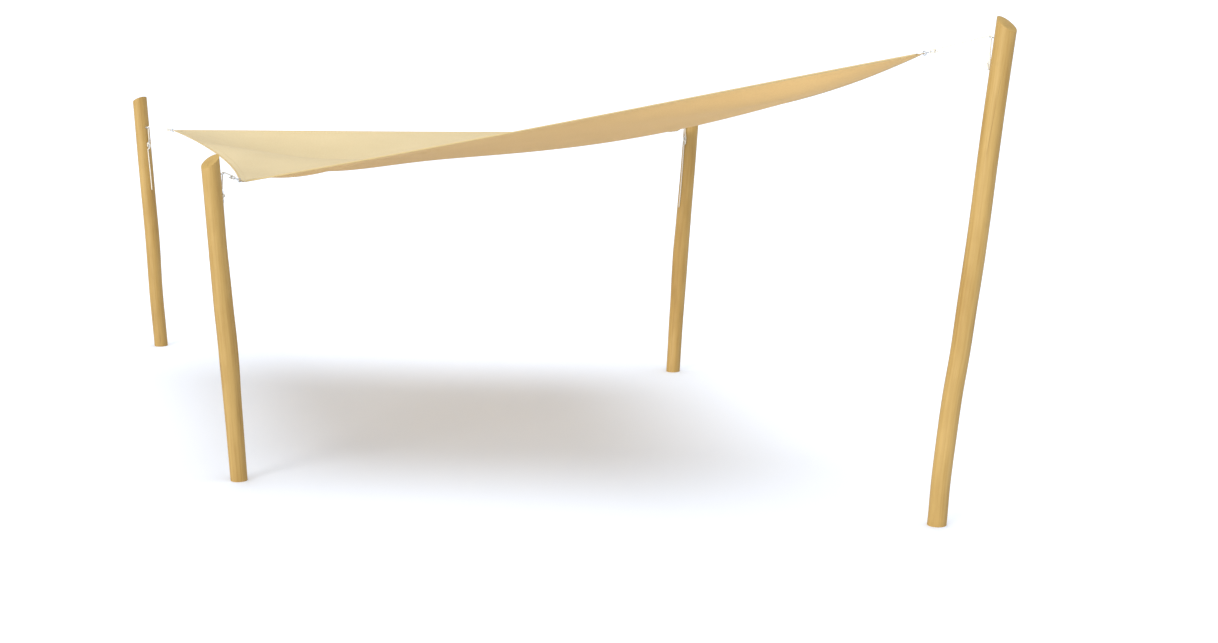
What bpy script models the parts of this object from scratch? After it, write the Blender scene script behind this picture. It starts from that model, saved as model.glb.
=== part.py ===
# Shade sail on four round timber posts
# Metres, +Z up. +X runs along the long diagonal, from the far low post to the tall post.
# The origin is the middle of the far low post's foot, at ground level.

import math

import bmesh
import bpy
from mathutils import Matrix, Vector

# Posts
postRadius = 0.08
longHalf = 5.32          # far low post to the middle of the layout
tallHalf = 5.22          # middle of the layout to the tall post
shortHalf = 2.93         # middle of the layout to each side post
logStations = 12
logSides = 28
bowDirection = Vector((0.744, 0.668, 0.0))

# Clearances
gap = 0.0003             # between pieces that touch
seat = 0.0005            # between round pieces that bear on each other
overlap = 0.001          # how far rods that are one piece run into each other
mergeDistance = 0.00001

# Sail, hem and tab
sailThickness = 0.008
sailSegments = 24
hemRadius = 0.006
hemSetBack = 0.004       # hem's end from the cut of the corner
cornerReach = 0.6        # part of the cloth that a corner's cut can touch
cornerInset = 0.02       # share of the cloth at which a corner's direction is taken
tabHole = 0.008
tabSides = 16
tabWidth = 0.036
tabThickness = 0.006
tabLip = 0.014           # tab beyond the middle of its hole

# Fittings
wireSides = 8
rodSides = 12
ringPoints = 18
arcSteps = 8             # in half a turn
eyeStandOff = 0.030      # ring centre from the log's surface
eyeRingRadius = 0.0155
eyeWire = 0.0045
boltRadius = 0.006
boltDepth = 0.090        # shank inside the log
boreSlack = 0.0006       # bore wider and deeper than the shank
boreStart = 0.020        # beyond the log's surface
collarRadius = 0.011
collarHeight = 0.0035
collarSides = 16
cleatDrop = 0.195        # eye down to the middle of the cleat
platePlan = (0.020, 0.004, 0.056)
legRadius = 0.005
legSpread = 0.014        # from the cleat's middle
legFoot = 0.002
legTop = 0.0225
ringRadius = 0.016
ringWire = 0.004
hookEndRadius = 0.011
hookLength = 0.0276      # between the centres of the hook's two round ends
hookWire = 0.0035

# Rope
ropeRadius = 0.006
spliceLength = 0.060     # doubled rope beside the hook
spliceShare = 0.4        # most of the free run that it takes
ropeStep = 0.08
turnStep = 0.009
tailStep = 0.030
eyeTurn = 24             # degrees a step on the way over the eye

# One entry a post: foot, outward direction, lean and slope of the top cut in degrees, height of the
# cut's middle, height of the eye, length of the free rope tail, corner of the sail, how far the
# corner is cut back, and the log's form as (share of height, sideways bow, radius factor)
posts = {
    "farLow": {
        "foot": (0.0, 0.0), "outward": (-1, 0), "lean": 4.0, "cut": 28.0, "height": 2.84,
        "eye": 2.524, "tail": 0.45, "corner": (0.440, 0.0, 2.530), "cutBack": 0.033,
        "form": [(0.0, 0.0, 0.96), (0.2, -0.006, 0.97), (0.45, 0.006, 1.01), (0.7, 0.002, 1.02),
                 (1.0, 0.0, 1.0)],
    },
    "nearLow": {
        "foot": (longHalf, -shortHalf), "outward": (0, -1), "lean": 3.5, "cut": 36.0, "height": 2.79,
        "eye": 2.670, "tail": 0.55, "corner": (longHalf, -2.793, 2.588), "cutBack": 0.022,
        "form": [(0.0, 0.0, 0.92), (0.2, 0.003, 0.96), (0.42, 0.008, 1.06), (0.55, 0.002, 1.05),
                 (0.75, -0.002, 0.98), (1.0, 0.0, 0.99)],
    },
    "sideLow": {
        "foot": (longHalf, shortHalf), "outward": (0, 1), "lean": 6.0, "cut": 36.0, "height": 2.84,
        "eye": 2.700, "tail": 0.655, "corner": (longHalf, 2.952, 2.619), "cutBack": 0.022,
        "form": [(0.0, 0.0, 0.94), (0.2, -0.006, 0.96), (0.45, -0.011, 1.06), (0.62, -0.006, 1.0),
                 (0.8, 0.0, 0.98), (1.0, 0.0, 0.98)],
    },
    "tall": {
        "foot": (longHalf + tallHalf, 0.0), "outward": (1, 0), "lean": 6.55, "cut": 38.0, "height": 3.98,
        "eye": 3.864, "tail": 0.60, "corner": (10.267, 0.0, 3.736), "cutBack": 0.033,
        "form": [(0.0, 0.0, 0.98), (0.12, -0.018, 0.98), (0.24, -0.020, 0.99), (0.4, -0.004, 0.99),
                 (0.6, 0.004, 1.02), (0.8, -0.003, 1.0), (1.0, 0.0, 1.01)],
    },
}

# One entry an edge of the sail: its two corners, then the pull inward and the sag at its middle,
# each with how much it leans towards the second corner
edges = {
    "farNear": ("farLow", "nearLow", 0.110, 0.394, -0.011, -0.829),
    "sideTall": ("sideLow", "tall", 0.254, -0.048, 0.097, 1.147),
    "farSide": ("farLow", "sideLow", 0.257, 0.023, -0.009, -0.474),
    "nearTall": ("nearLow", "tall", 0.247, 0.040, 0.023, -0.340),
}
# How far the middle of the cloth lies off the plain blend of its edges: evenly, leaning to one side
# and leaning to the tall post
belly = (-0.221, 0.124, -0.016)
# Swellings of the cloth: height, place and reach along u and v
swellings = [
    (-0.663, 0.106, 0.155, 0.273, 0.257),
    (0.593, 0.517, -0.065, 0.355, 0.136),
    (-0.893, 0.922, 0.033, 0.145, 0.118),
    (-1.3, 1.0, 1.0, 0.10, 0.25),
]

# The cleat's horns in millimetres: up from its middle, off the log, radius
cleatHorns = [
    (-50, 26.0, 3.0), (-38, 24.4, 3.9), (-20, 22.6, 4.7), (0, 22.2, 5.0),
    (20, 22.6, 4.7), (38, 24.4, 3.9), (50, 26.0, 3.0),
]
# The rope's way round the cleat, in millimetres: sideways, off the log, up from the cleat's middle
cleatTurns = [
    (-6, 24, 75), (-9.5, 16, 45), (-11.5, 11.5, 26), (-11.5, 10.4, 12), (-11.5, 10.4, -14),
    (-8.4, 10.4, -22.2), (0, 10.4, -25.7), (8.4, 10.4, -22.2), (11.5, 10.4, -14), (11.5, 10.4, 2),
    (12.2, 12.6, 13), (12.6, 20, 20.5), (10.9, 28.6, 16), (6.2, 33.4, 9), (0, 35, 3),
    (-6.2, 33.4, -3), (-11.2, 29.4, -8.5), (-14.6, 23.2, -17), (-15.6, 18, -28), (-11.5, 14, -37),
    (-4.5, 13.4, -41.5), (3, 12.8, -43), (8.2, 10.6, -48), (9.9, 8.5, -54), (10.2, 7.6, -60),
    (10.2, 7.6, -66),
]
# The free tail's way down the log: share of its length, sideways and off the log in millimetres
tailRoute = [
    (0.0, 10.2, 7.6), (0.05, 10.2, 7.5), (0.3, 8.4, 7.0), (0.55, 6.4, 7.0), (0.8, 5.6, 7.2),
    (1.0, 6.0, 8.0),
]

colours = {
    "timber": ((0.72, 0.47, 0.18, 1), 0.62, 0.0),
    "cloth": ((0.80, 0.64, 0.36, 1), 0.85, 0.0),
    "webbing": ((0.72, 0.52, 0.24, 1), 0.80, 0.0),
    "steel": ((0.62, 0.63, 0.64, 1), 0.28, 1.0),
    "rope": ((0.84, 0.82, 0.76, 1), 0.75, 0.0),
}


def clearScene():
    for item in list(bpy.data.objects):
        bpy.data.objects.remove(item, do_unlink=True)


def makeCollection(name):
    group = bpy.data.collections.new(name)
    bpy.context.scene.collection.children.link(group)
    return group


def makeMaterial(slot):
    colour, roughness, metallic = colours[slot]
    material = bpy.data.materials.get(slot) or bpy.data.materials.new(slot)
    material.use_nodes = True
    shader = material.node_tree.nodes["Principled BSDF"]
    shader.inputs["Base Color"].default_value = colour
    shader.inputs["Roughness"].default_value = roughness
    shader.inputs["Metallic"].default_value = metallic
    return material


def addMesh(name, form, slot, group, place):
    mesh = bpy.data.meshes.new(name)
    form.to_mesh(mesh)
    form.free()
    if slot:
        mesh.materials.append(makeMaterial(slot))
    item = bpy.data.objects.new(name, mesh)
    group.objects.link(item)
    item.matrix_world = place
    return item


def addTube(name, points, radii, sides, slot, group, place, closed=False):
    curve = bpy.data.curves.new(name, "CURVE")
    curve.dimensions = "3D"
    curve.bevel_depth = 1.0
    curve.bevel_resolution = (sides - 4) // 2
    curve.use_fill_caps = not closed
    spline = curve.splines.new("POLY")
    spline.points.add(len(points) - 1)
    for index, point in enumerate(points):
        spline.points[index].co = (point[0], point[1], point[2], 1)
        spline.points[index].radius = radii[index] if isinstance(radii, list) else radii
    spline.use_cyclic_u = closed
    curve.materials.append(makeMaterial(slot))
    item = bpy.data.objects.new(name, curve)
    group.objects.link(item)
    item.matrix_world = place
    return item


def tubeToMesh(item):
    bpy.context.view_layer.update()
    evaluated = item.evaluated_get(bpy.context.evaluated_depsgraph_get())
    mesh = bpy.data.meshes.new_from_object(evaluated)
    form = bmesh.new()
    form.from_mesh(mesh)
    bmesh.ops.remove_doubles(form, verts=form.verts, dist=mergeDistance)
    form.to_mesh(mesh)
    form.free()
    solid = bpy.data.objects.new(item.name, mesh)
    item.users_collection[0].objects.link(solid)
    solid.matrix_world = item.matrix_world
    name = item.name
    bpy.data.objects.remove(item, do_unlink=True)
    solid.name = name
    return solid


def addBoolean(item, other, operation):
    modifier = item.modifiers.new(operation.lower(), "BOOLEAN")
    modifier.operation = operation
    modifier.solver = "EXACT"
    modifier.object = other
    other.hide_render = True
    other.display_type = "WIRE"


def rodForm(radius, start, end, sides, axis="Y"):
    form = bmesh.new()
    turn = Matrix.Identity(4)
    middle = Vector((0, 0, (start + end) / 2))
    if axis == "Y":
        turn = Matrix.Rotation(math.radians(-90), 4, "X")
        middle = Vector((0, (start + end) / 2, 0))
    bmesh.ops.create_cone(form, cap_ends=True, segments=sides, radius1=radius, radius2=radius,
                          depth=end - start, matrix=Matrix.Translation(middle) @ turn)
    return form


def boxForm(centre, sizes):
    form = bmesh.new()
    bmesh.ops.create_cube(form, size=1, matrix=Matrix.Translation(centre) @ Matrix.Diagonal((*sizes, 1)))
    return form


def frameMatrix(first, second, third, origin):
    return Matrix((
        (first.x, second.x, third.x, origin.x),
        (first.y, second.y, third.y, origin.y),
        (first.z, second.z, third.z, origin.z),
        (0, 0, 0, 1),
    ))


def circlePoints(radius, centre, first, second):
    points = []
    for index in range(ringPoints):
        angle = 2 * math.pi * index / ringPoints
        points.append(centre + first * (radius * math.cos(angle)) + second * (radius * math.sin(angle)))
    return points


def smoothRoute(points, spacing):
    # Points along a smooth curve through the given ones
    route = [Vector(point) for point in points]
    smooth = []
    for index in range(len(route) - 1):
        before = route[max(index - 1, 0)]
        start = route[index]
        end = route[index + 1]
        after = route[min(index + 2, len(route) - 1)]
        steps = max(1, round((end - start).length / spacing))
        for step in range(steps):
            share = step / steps
            smooth.append(0.5 * (2 * start + (end - before) * share
                                 + (2 * before - 5 * start + 4 * end - after) * share ** 2
                                 + (3 * start - before - 3 * end + after) * share ** 3))
    smooth.append(route[-1])
    return smooth


# Logs

def blendForm(form, share):
    # Bow and radius factor at a share of the height, eased between the given shares
    for low, high in zip(form, form[1:]):
        if share <= high[0]:
            part = (share - low[0]) / (high[0] - low[0])
            part = part * part * (3 - 2 * part)
            return low[1] + (high[1] - low[1]) * part, low[2] + (high[2] - low[2]) * part
    return form[-1][1], form[-1][2]


def logLine(post):
    # Centres and radii of the log's stations, from below ground to past the top cut
    foot = Vector((*post["foot"], 0))
    slope = Vector((*post["outward"], 0)) * math.tan(math.radians(post["lean"]))
    length = post["height"]
    shares = [-0.1] + [index / (logStations - 1) for index in range(logStations)] + [1.1]
    line = []
    for share in shares:
        bow, factor = blendForm(post["form"], min(max(share, 0.0), 1.0))
        rise = Vector((0, 0, share * length))
        centre = foot + slope * (share * length) + rise + bowDirection * bow
        line.append((centre, postRadius * factor))
    return line


def logFrame(post, height):
    # Axes at a height: X sideways, Y towards the sail, Z up the log, origin on the log's surface
    line = logLine(post)
    for low, high in zip(line, line[1:]):
        if low[0].z <= height <= high[0].z:
            break
    share = (height - low[0].z) / (high[0].z - low[0].z)
    up = (high[0] - low[0]).normalized()
    radius = low[1] + (high[1] - low[1]) * share
    inward = -Vector((*post["outward"], 0))
    inward = (inward - up * inward.dot(up)).normalized()
    origin = low[0].lerp(high[0], share) + inward * radius
    return frameMatrix(inward.cross(up), inward, up, origin)


def cutSolid(item, point, normal):
    form = bmesh.new()
    form.from_mesh(item.data)
    bmesh.ops.bisect_plane(form, geom=form.verts[:] + form.edges[:] + form.faces[:],
                           dist=mergeDistance, plane_co=point, plane_no=normal, clear_outer=True)
    rim = [edge for edge in form.edges if edge.is_boundary]
    bmesh.ops.holes_fill(form, edges=rim, sides=0)
    form.to_mesh(item.data)
    form.free()


def buildPost(name, post, group, cutters):
    line = logLine(post)
    centres = [centre for centre, radius in line]
    radii = [radius for centre, radius in line]
    item = addTube(name + "Post", centres, radii, logSides, "timber", group, Matrix.Identity(4))
    item = tubeToMesh(item)
    down = Vector((0, 0, -1))
    cutSolid(item, Vector((0, 0, 0)), down)
    outward = Vector((*post["outward"], 0))
    reach = math.tan(math.radians(post["lean"])) * post["height"]
    top = Vector((*post["foot"], 0)) + outward * reach - down * post["height"]
    slope = math.radians(post["cut"])
    cutSolid(item, top, outward * math.sin(slope) - down * math.cos(slope))
    item.data.shade_smooth()
    bore = rodForm(boltRadius + boreSlack, -boltDepth - boreSlack, boreStart, rodSides)
    cutter = addMesh(name + "Bore", bore, None, cutters, logFrame(post, post["eye"]))
    addBoolean(item, cutter, "DIFFERENCE")


# Fittings on the log

def buildEyeBolt(name, post, group, cutters):
    place = logFrame(post, post["eye"])
    centre = Vector((0, eyeStandOff, 0))
    circle = circlePoints(eyeRingRadius, centre, Vector((0, 1, 0)), Vector((1, 0, 0)))
    ring = addTube(name + "EyeBolt", circle, eyeWire, wireSides, "steel", group, place, closed=True)
    ring = tubeToMesh(ring)
    shankForm = rodForm(boltRadius, -boltDepth, eyeStandOff - eyeRingRadius + overlap, rodSides)
    collarForm = rodForm(collarRadius, gap, collarHeight, collarSides)
    addBoolean(ring, addMesh(name + "Shank", shankForm, "steel", cutters, place), "UNION")
    addBoolean(ring, addMesh(name + "Collar", collarForm, "steel", cutters, place), "UNION")


def buildCleat(name, post, group, cutters):
    place = logFrame(post, post["eye"] - cleatDrop)
    line = [Vector((0, off, up)) / 1000 for up, off, radius in cleatHorns]
    radii = [radius / 1000 for up, off, radius in cleatHorns]
    horns = addTube(name + "Cleat", line, radii, wireSides, "steel", group, place)
    horns = tubeToMesh(horns)
    plate = boxForm(Vector((0, platePlan[1] / 2 + gap, 0)), platePlan)
    addBoolean(horns, addMesh(name + "CleatPlate", plate, "steel", cutters, place), "UNION")
    for side, height in (("Low", -legSpread), ("High", legSpread)):
        legForm = rodForm(legRadius, legFoot, legTop, rodSides)
        raised = place @ Matrix.Translation((0, 0, height))
        addBoolean(horns, addMesh(name + "Leg" + side, legForm, "steel", cutters, raised), "UNION")


# Sail

def edgePoint(edge, share):
    first, second, inward, inwardLean, down, downLean = edges[edge]
    start = Vector(posts[first]["corner"])
    end = Vector(posts[second]["corner"])
    run = end - start
    across = Vector((-run.y, run.x, 0)).normalized()
    middle = (start + end) / 2
    if across.dot(Vector((longHalf - middle.x, -middle.y, 0))) < 0:
        across = -across
    weight = 4 * share * (1 - share)
    lean = 2 * share - 1
    pull = across * (weight * inward * (1 + inwardLean * lean))
    return start + run * share + pull - Vector((0, 0, weight * down * (1 + downLean * lean)))


def sailPoint(u, v):
    # A blend of the four curved edges: u runs along farNear and sideTall, v along farSide and nearTall
    far = Vector(posts["farLow"]["corner"])
    near = Vector(posts["nearLow"]["corner"])
    side = Vector(posts["sideLow"]["corner"])
    tall = Vector(posts["tall"]["corner"])
    alongU = edgePoint("farNear", u) * (1 - v) + edgePoint("sideTall", u) * v
    alongV = edgePoint("farSide", v) * (1 - u) + edgePoint("nearTall", v) * u
    flat = far * ((1 - u) * (1 - v)) + near * (u * (1 - v)) + side * ((1 - u) * v) + tall * (u * v)
    rise = belly[0] + belly[1] * (u - v) + belly[2] * (u + v - 1)
    for height, placeU, placeV, reachU, reachV in swellings:
        rise += height * math.exp(-((u - placeU) / reachU) ** 2 - ((v - placeV) / reachV) ** 2)
    return alongU + alongV - flat + Vector((0, 0, 16 * u * v * (1 - u) * (1 - v) * rise))


def sailNormal(u, v):
    step = 0.002
    alongU = sailPoint(min(u + step, 1), v) - sailPoint(max(u - step, 0), v)
    alongV = sailPoint(u, min(v + step, 1)) - sailPoint(u, max(v - step, 0))
    normal = alongU.cross(alongV).normalized()
    return normal if normal.z > 0 else -normal


def cornerFrame(name):
    # X out of the sail's corner, Z off the cloth, origin at the corner
    low = cornerInset
    high = 1 - cornerInset
    inside = {"farLow": (low, low), "nearLow": (high, low), "sideLow": (low, high), "tall": (high, high)}
    origin = Vector(posts[name]["corner"])
    out = (origin - sailPoint(*inside[name])).normalized()
    across = Vector((0, 0, 1)).cross(out).normalized()
    return frameMatrix(out, across, out.cross(across), origin)


def buildSail(group):
    form = bmesh.new()
    bmesh.ops.create_grid(form, x_segments=sailSegments, y_segments=sailSegments, size=0.5)
    for vert in form.verts:
        vert.co = sailPoint(vert.co.x + 0.5, vert.co.y + 0.5)
    for name, post in posts.items():
        frame = cornerFrame(name)
        corner = frame.translation
        out = frame.to_3x3().col[0]
        near = [face for face in form.faces if (face.calc_center_median() - corner).length < cornerReach]
        geometry = list({vert for face in near for vert in face.verts}) + list(
            {edge for face in near for edge in face.edges}) + near
        bmesh.ops.bisect_plane(form, geom=geometry, dist=mergeDistance,
                               plane_co=corner - out * post["cutBack"], plane_no=out, clear_outer=True)
    bmesh.ops.recalc_face_normals(form, faces=form.faces)
    item = addMesh("sail", form, "cloth", group, Matrix.Identity(4))
    item.data.shade_smooth()
    shell = item.modifiers.new("thickness", "SOLIDIFY")
    shell.thickness = sailThickness
    shell.offset = 0


def hemPoint(edge, share):
    # Middle of the hem beside a point of the sail's rim
    onU = edge in ("farNear", "sideTall")
    fixed = {"farNear": 0, "sideTall": 1, "farSide": 0, "nearTall": 1}[edge]
    u, v = (share, fixed) if onU else (fixed, share)
    along = edgePoint(edge, min(share + 0.01, 1)) - edgePoint(edge, max(share - 0.01, 0))
    across = along.cross(sailNormal(u, v)).normalized()
    here = edgePoint(edge, share)
    if across.dot(here - Vector((longHalf, 0, 0))) < 0:
        across = -across
    return here + across * (hemRadius + seat)


def buildHem(edge, group):
    # The rim is straight between the grid's stations, so the hem's ends lie on those straights
    first, second = edges[edge][:2]
    stations = [hemPoint(edge, index / sailSegments) for index in range(sailSegments + 1)]
    start = cutShare(edge, first, False) * sailSegments
    end = cutShare(edge, second, True) * sailSegments
    points = [stations[int(start)].lerp(stations[int(start) + 1], start - int(start))]
    points += stations[int(start) + 1:int(end) + 1]
    points.append(stations[int(end)].lerp(stations[int(end) + 1], end - int(end)))
    addTube(edge + "Hem", points, hemRadius, wireSides, "webbing", group, Matrix.Identity(4))


def cutShare(edge, name, atEnd):
    # Share of the edge at which the hem ends short of the corner's cut
    frame = cornerFrame(name)
    out = frame.to_3x3().col[0]
    low, high = 0.0, 0.2
    for step in range(30):
        middle = (low + high) / 2
        point = edgePoint(edge, 1 - middle if atEnd else middle)
        if (frame.translation - point).dot(out) < posts[name]["cutBack"] + hemSetBack:
            low = middle
        else:
            high = middle
    return 1 - high if atEnd else high


# Corner chain: tab on the cloth, ring through the tab, hook through the ring, rope round the hook

def pullFrame(name, post):
    # X along the pull, from the cut corner of the cloth to the eye's wire, Z up in the same upright
    # plane, origin at the middle of the tab's hole
    seam = cornerFrame(name) @ Vector((-post["cutBack"], 0, 0))
    wire = logFrame(post, post["eye"]) @ Vector((0, eyeStandOff + eyeRingRadius, 0))
    out = (wire - seam).normalized()
    across = Vector((0, 0, 1)).cross(out).normalized()
    origin = seam + out * post["cutBack"]
    return frameMatrix(out, across, out.cross(across), origin), (wire - origin).length


def buildTab(name, post, group, cutters):
    place, span = pullFrame(name, post)
    cloth = cornerFrame(name).to_3x3().col[0]
    out, across, up = place.to_3x3().col
    room = 0
    for side in (-1, 1):
        for rise in (-1, 1):
            edge = across * side * tabWidth / 2 + up * rise * tabThickness / 2
            room = max(room, (gap - edge.dot(cloth)) / out.dot(cloth))
    start = room - post["cutBack"]
    block = boxForm(Vector(((start + tabLip) / 2, 0, 0)), (tabLip - start, tabWidth, tabThickness))
    tab = addMesh(name + "Tab", block, "webbing", group, place)
    bore = rodForm(tabHole, -tabThickness, tabThickness, tabSides, "Z")
    addBoolean(tab, addMesh(name + "TabHole", bore, None, cutters, place), "DIFFERENCE")


def ringCentre():
    # Distance from the tab's hole to the ring's centre, with the wire close to the hole's side
    half = tabThickness / 2
    bulge = ringRadius - math.sqrt(ringRadius ** 2 - half ** 2)
    return ringRadius + tabHole * math.cos(math.pi / tabSides) - ringWire - gap - bulge


def buildRing(name, post, group):
    place, span = pullFrame(name, post)
    centre = Vector((ringCentre(), 0, 0))
    circle = circlePoints(ringRadius, centre, Vector((-1, 0, 0)), Vector((0, 0, 1)))
    addTube(name + "Ring", circle, ringWire, wireSides, "steel", group, place, closed=True)


def hookCentres():
    near = ringCentre() + ringRadius - ringWire - hookWire - seat + hookEndRadius
    return near, near + hookLength


def buildHook(name, post, group):
    place, span = pullFrame(name, post)
    near, far = hookCentres()
    points = []
    for centre, start in ((near, 90), (far, -90)):
        for step in range(arcSteps + 1):
            angle = math.radians(start + step * 180 / arcSteps)
            reach = centre + hookEndRadius * math.cos(angle)
            points.append(Vector((reach, hookEndRadius * math.sin(angle), 0)))
    addTube(name + "Hook", points, hookWire, wireSides, "steel", group, place, closed=True)


# Ropes

def buildHalyard(name, post, group):
    place, span = pullFrame(name, post)
    hookBar = hookCentres()[1] + hookEndRadius
    turnHook = hookWire + ropeRadius + seat
    turnEye = eyeWire + ropeRadius + seat
    run = span - hookBar
    spare = min(spliceLength, run * spliceShare)
    route = [Vector((hookBar + spare, 0, -turnHook)), Vector((hookBar + spare / 2, 0, -turnHook))]
    for step in range(arcSteps + 1):
        angle = math.radians(270 - step * 180 / arcSteps)
        route.append(Vector((hookBar + turnHook * math.cos(angle), 0, turnHook * math.sin(angle))))
    steps = max(2, round(run / ropeStep))
    for step in range(1, steps):
        share = step / steps
        route.append(Vector((hookBar + run * share, 0, turnHook + (turnEye - turnHook) * share)))
    toPull = place.inverted() @ logFrame(post, post["eye"])
    down = -(toPull.to_3x3().col[2])
    start = 90 + math.degrees(math.asin((turnEye - turnHook) / run))
    end = math.degrees(math.atan2(down.z, down.x)) + 90
    steps = max(3, math.ceil(abs(start - end) / eyeTurn))
    for step in range(steps + 1):
        angle = math.radians(start + (end - start) * step / steps)
        route.append(Vector((span + turnEye * math.cos(angle), 0, turnEye * math.sin(angle))))
    world = [place @ point for point in route]
    cleat = logFrame(post, post["eye"] - cleatDrop)
    turns = smoothRoute([cleat @ (Vector(point) / 1000) for point in cleatTurns], turnStep)
    world.append(world[-1].lerp(turns[0], 0.5))
    addTube(name + "Halyard", world + turns, ropeRadius, wireSides, "rope", group, Matrix.Identity(4))


def buildTail(name, post, group):
    top = post["eye"] - cleatDrop + cleatTurns[-1][2] / 1000 - gap
    points = []
    for share, side, off in tailRoute:
        frame = logFrame(post, top - share * post["tail"])
        points.append(frame @ Vector((side / 1000, off / 1000, 0)))
    route = smoothRoute(points, tailStep)
    addTube(name + "Tail", route, ropeRadius, wireSides, "rope", group, Matrix.Identity(4))


def build():
    clearScene()
    group = makeCollection("shadeSail")
    cutters = makeCollection("cutters")
    buildSail(group)
    for edge in edges:
        buildHem(edge, group)
    for name, post in posts.items():
        buildPost(name, post, group, cutters)
        buildEyeBolt(name, post, group, cutters)
        buildCleat(name, post, group, cutters)
        buildTab(name, post, group, cutters)
        buildRing(name, post, group)
        buildHook(name, post, group)
        buildHalyard(name, post, group)
        buildTail(name, post, group)


build()
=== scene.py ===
import math
import random

import bmesh
import bpy
from mathutils import Matrix, Vector


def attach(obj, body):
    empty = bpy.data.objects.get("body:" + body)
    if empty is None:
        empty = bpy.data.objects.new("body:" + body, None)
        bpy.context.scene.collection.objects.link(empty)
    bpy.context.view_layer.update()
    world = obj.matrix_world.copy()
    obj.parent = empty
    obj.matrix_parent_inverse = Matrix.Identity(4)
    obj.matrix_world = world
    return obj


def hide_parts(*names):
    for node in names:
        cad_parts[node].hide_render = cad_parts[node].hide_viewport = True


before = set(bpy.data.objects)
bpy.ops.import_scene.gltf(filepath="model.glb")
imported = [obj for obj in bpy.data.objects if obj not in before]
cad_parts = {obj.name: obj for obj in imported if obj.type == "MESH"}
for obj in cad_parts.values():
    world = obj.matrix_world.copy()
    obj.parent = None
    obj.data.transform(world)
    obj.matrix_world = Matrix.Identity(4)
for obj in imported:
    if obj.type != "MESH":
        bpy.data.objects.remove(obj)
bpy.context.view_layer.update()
print("frame loaded:", len(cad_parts), "nodes")

# Camera at the photograph's angle, worked out from the feet and tops of the posts
view = {"place": (18.36, -12.65, 4.52), "down": 11.06, "turn": 41.90, "focal": 1900, "width": 1218,
        "sensor": 36.0, "reach": 1000}


def addCamera():
    turn = (math.radians(90 - view["down"]), 0, math.radians(view["turn"]))
    bpy.ops.object.camera_add(location=view["place"], rotation=turn)
    camera = bpy.context.object
    camera.data.sensor_width = view["sensor"]
    camera.data.lens = view["sensor"] * view["focal"] / view["width"]
    camera.data.clip_end = view["reach"]
    bpy.context.scene.camera = camera


addCamera()

# The layout of the part, repeated in metres and degrees. A log's form is a list of shares of its
# height, each with how far it bows there and its girth
postRadius = 0.08
longHalf = 5.32
tallHalf = 5.22
shortHalf = 2.93
logStations = 12
ropeRadius = 0.006
hemRadius = 0.006
eyeStandOff = 0.030
eyeRingRadius = 0.0155
eyeWire = 0.0045
boltRadius = 0.006
cleatDrop = 0.195
ringRadius = 0.016
ringWire = 0.004
hookEndRadius = 0.011
hookLength = 0.0276
hookWire = 0.0035
tabHole = 0.008
tabHoleSides = 16
tabWidth = 0.036
tabThickness = 0.006
tabLip = 0.014
cornerReach = 0.02
gap = 0.0003
seat = 0.0005
bowDirection = Vector((0.744, 0.668, 0.0))
posts = {
    "farLow": {
        "foot": (0.0, 0.0), "outward": (-1, 0), "lean": 4.0, "cut": 28.0, "height": 2.84,
        "eye": 2.524, "tail": 0.45, "corner": (0.440, 0.0, 2.530), "cutBack": 0.033,
        "form": [(0.0, 0.0, 0.96), (0.2, -0.006, 0.97), (0.45, 0.006, 1.01), (0.7, 0.002, 1.02),
                 (1.0, 0.0, 1.0)],
    },
    "nearLow": {
        "foot": (longHalf, -shortHalf), "outward": (0, -1), "lean": 3.5, "cut": 36.0, "height": 2.79,
        "eye": 2.670, "tail": 0.55, "corner": (longHalf, -2.793, 2.588), "cutBack": 0.022,
        "form": [(0.0, 0.0, 0.92), (0.2, 0.003, 0.96), (0.42, 0.008, 1.06), (0.55, 0.002, 1.05),
                 (0.75, -0.002, 0.98), (1.0, 0.0, 0.99)],
    },
    "sideLow": {
        "foot": (longHalf, shortHalf), "outward": (0, 1), "lean": 6.0, "cut": 36.0, "height": 2.84,
        "eye": 2.700, "tail": 0.655, "corner": (longHalf, 2.952, 2.619), "cutBack": 0.022,
        "form": [(0.0, 0.0, 0.94), (0.2, -0.006, 0.96), (0.45, -0.011, 1.06), (0.62, -0.006, 1.0),
                 (0.8, 0.0, 0.98), (1.0, 0.0, 0.98)],
    },
    "tall": {
        "foot": (longHalf + tallHalf, 0.0), "outward": (1, 0), "lean": 6.55, "cut": 38.0, "height": 3.98,
        "eye": 3.864, "tail": 0.60, "corner": (10.267, 0.0, 3.736), "cutBack": 0.033,
        "form": [(0.0, 0.0, 0.98), (0.12, -0.018, 0.98), (0.24, -0.020, 0.99), (0.4, -0.004, 0.99),
                 (0.6, 0.004, 1.02), (0.8, -0.003, 1.0), (1.0, 0.0, 1.01)],
    },
}
# Each edge runs between two posts. Its sag inward and its sag down each have a lean to one end
edges = {
    "farNear": ("farLow", "nearLow", 0.110, 0.394, -0.011, -0.829),
    "sideTall": ("sideLow", "tall", 0.254, -0.048, 0.097, 1.147),
    "farSide": ("farLow", "sideLow", 0.257, 0.023, -0.009, -0.474),
    "nearTall": ("nearLow", "tall", 0.247, 0.040, 0.023, -0.340),
}
# The cloth's rise in its middle and along u - v and u + v; swellings have a rise, a place and a reach
belly = (-0.221, 0.124, -0.016)
swellings = [
    (-0.663, 0.106, 0.155, 0.273, 0.257),
    (0.593, 0.517, -0.065, 0.355, 0.136),
    (-0.893, 0.922, 0.033, 0.145, 0.118),
    (-1.3, 1.0, 1.0, 0.10, 0.25),
]
cornerShares = {"farLow": (0, 0), "nearLow": (1, 0), "sideLow": (0, 1), "tall": (1, 1)}
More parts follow.
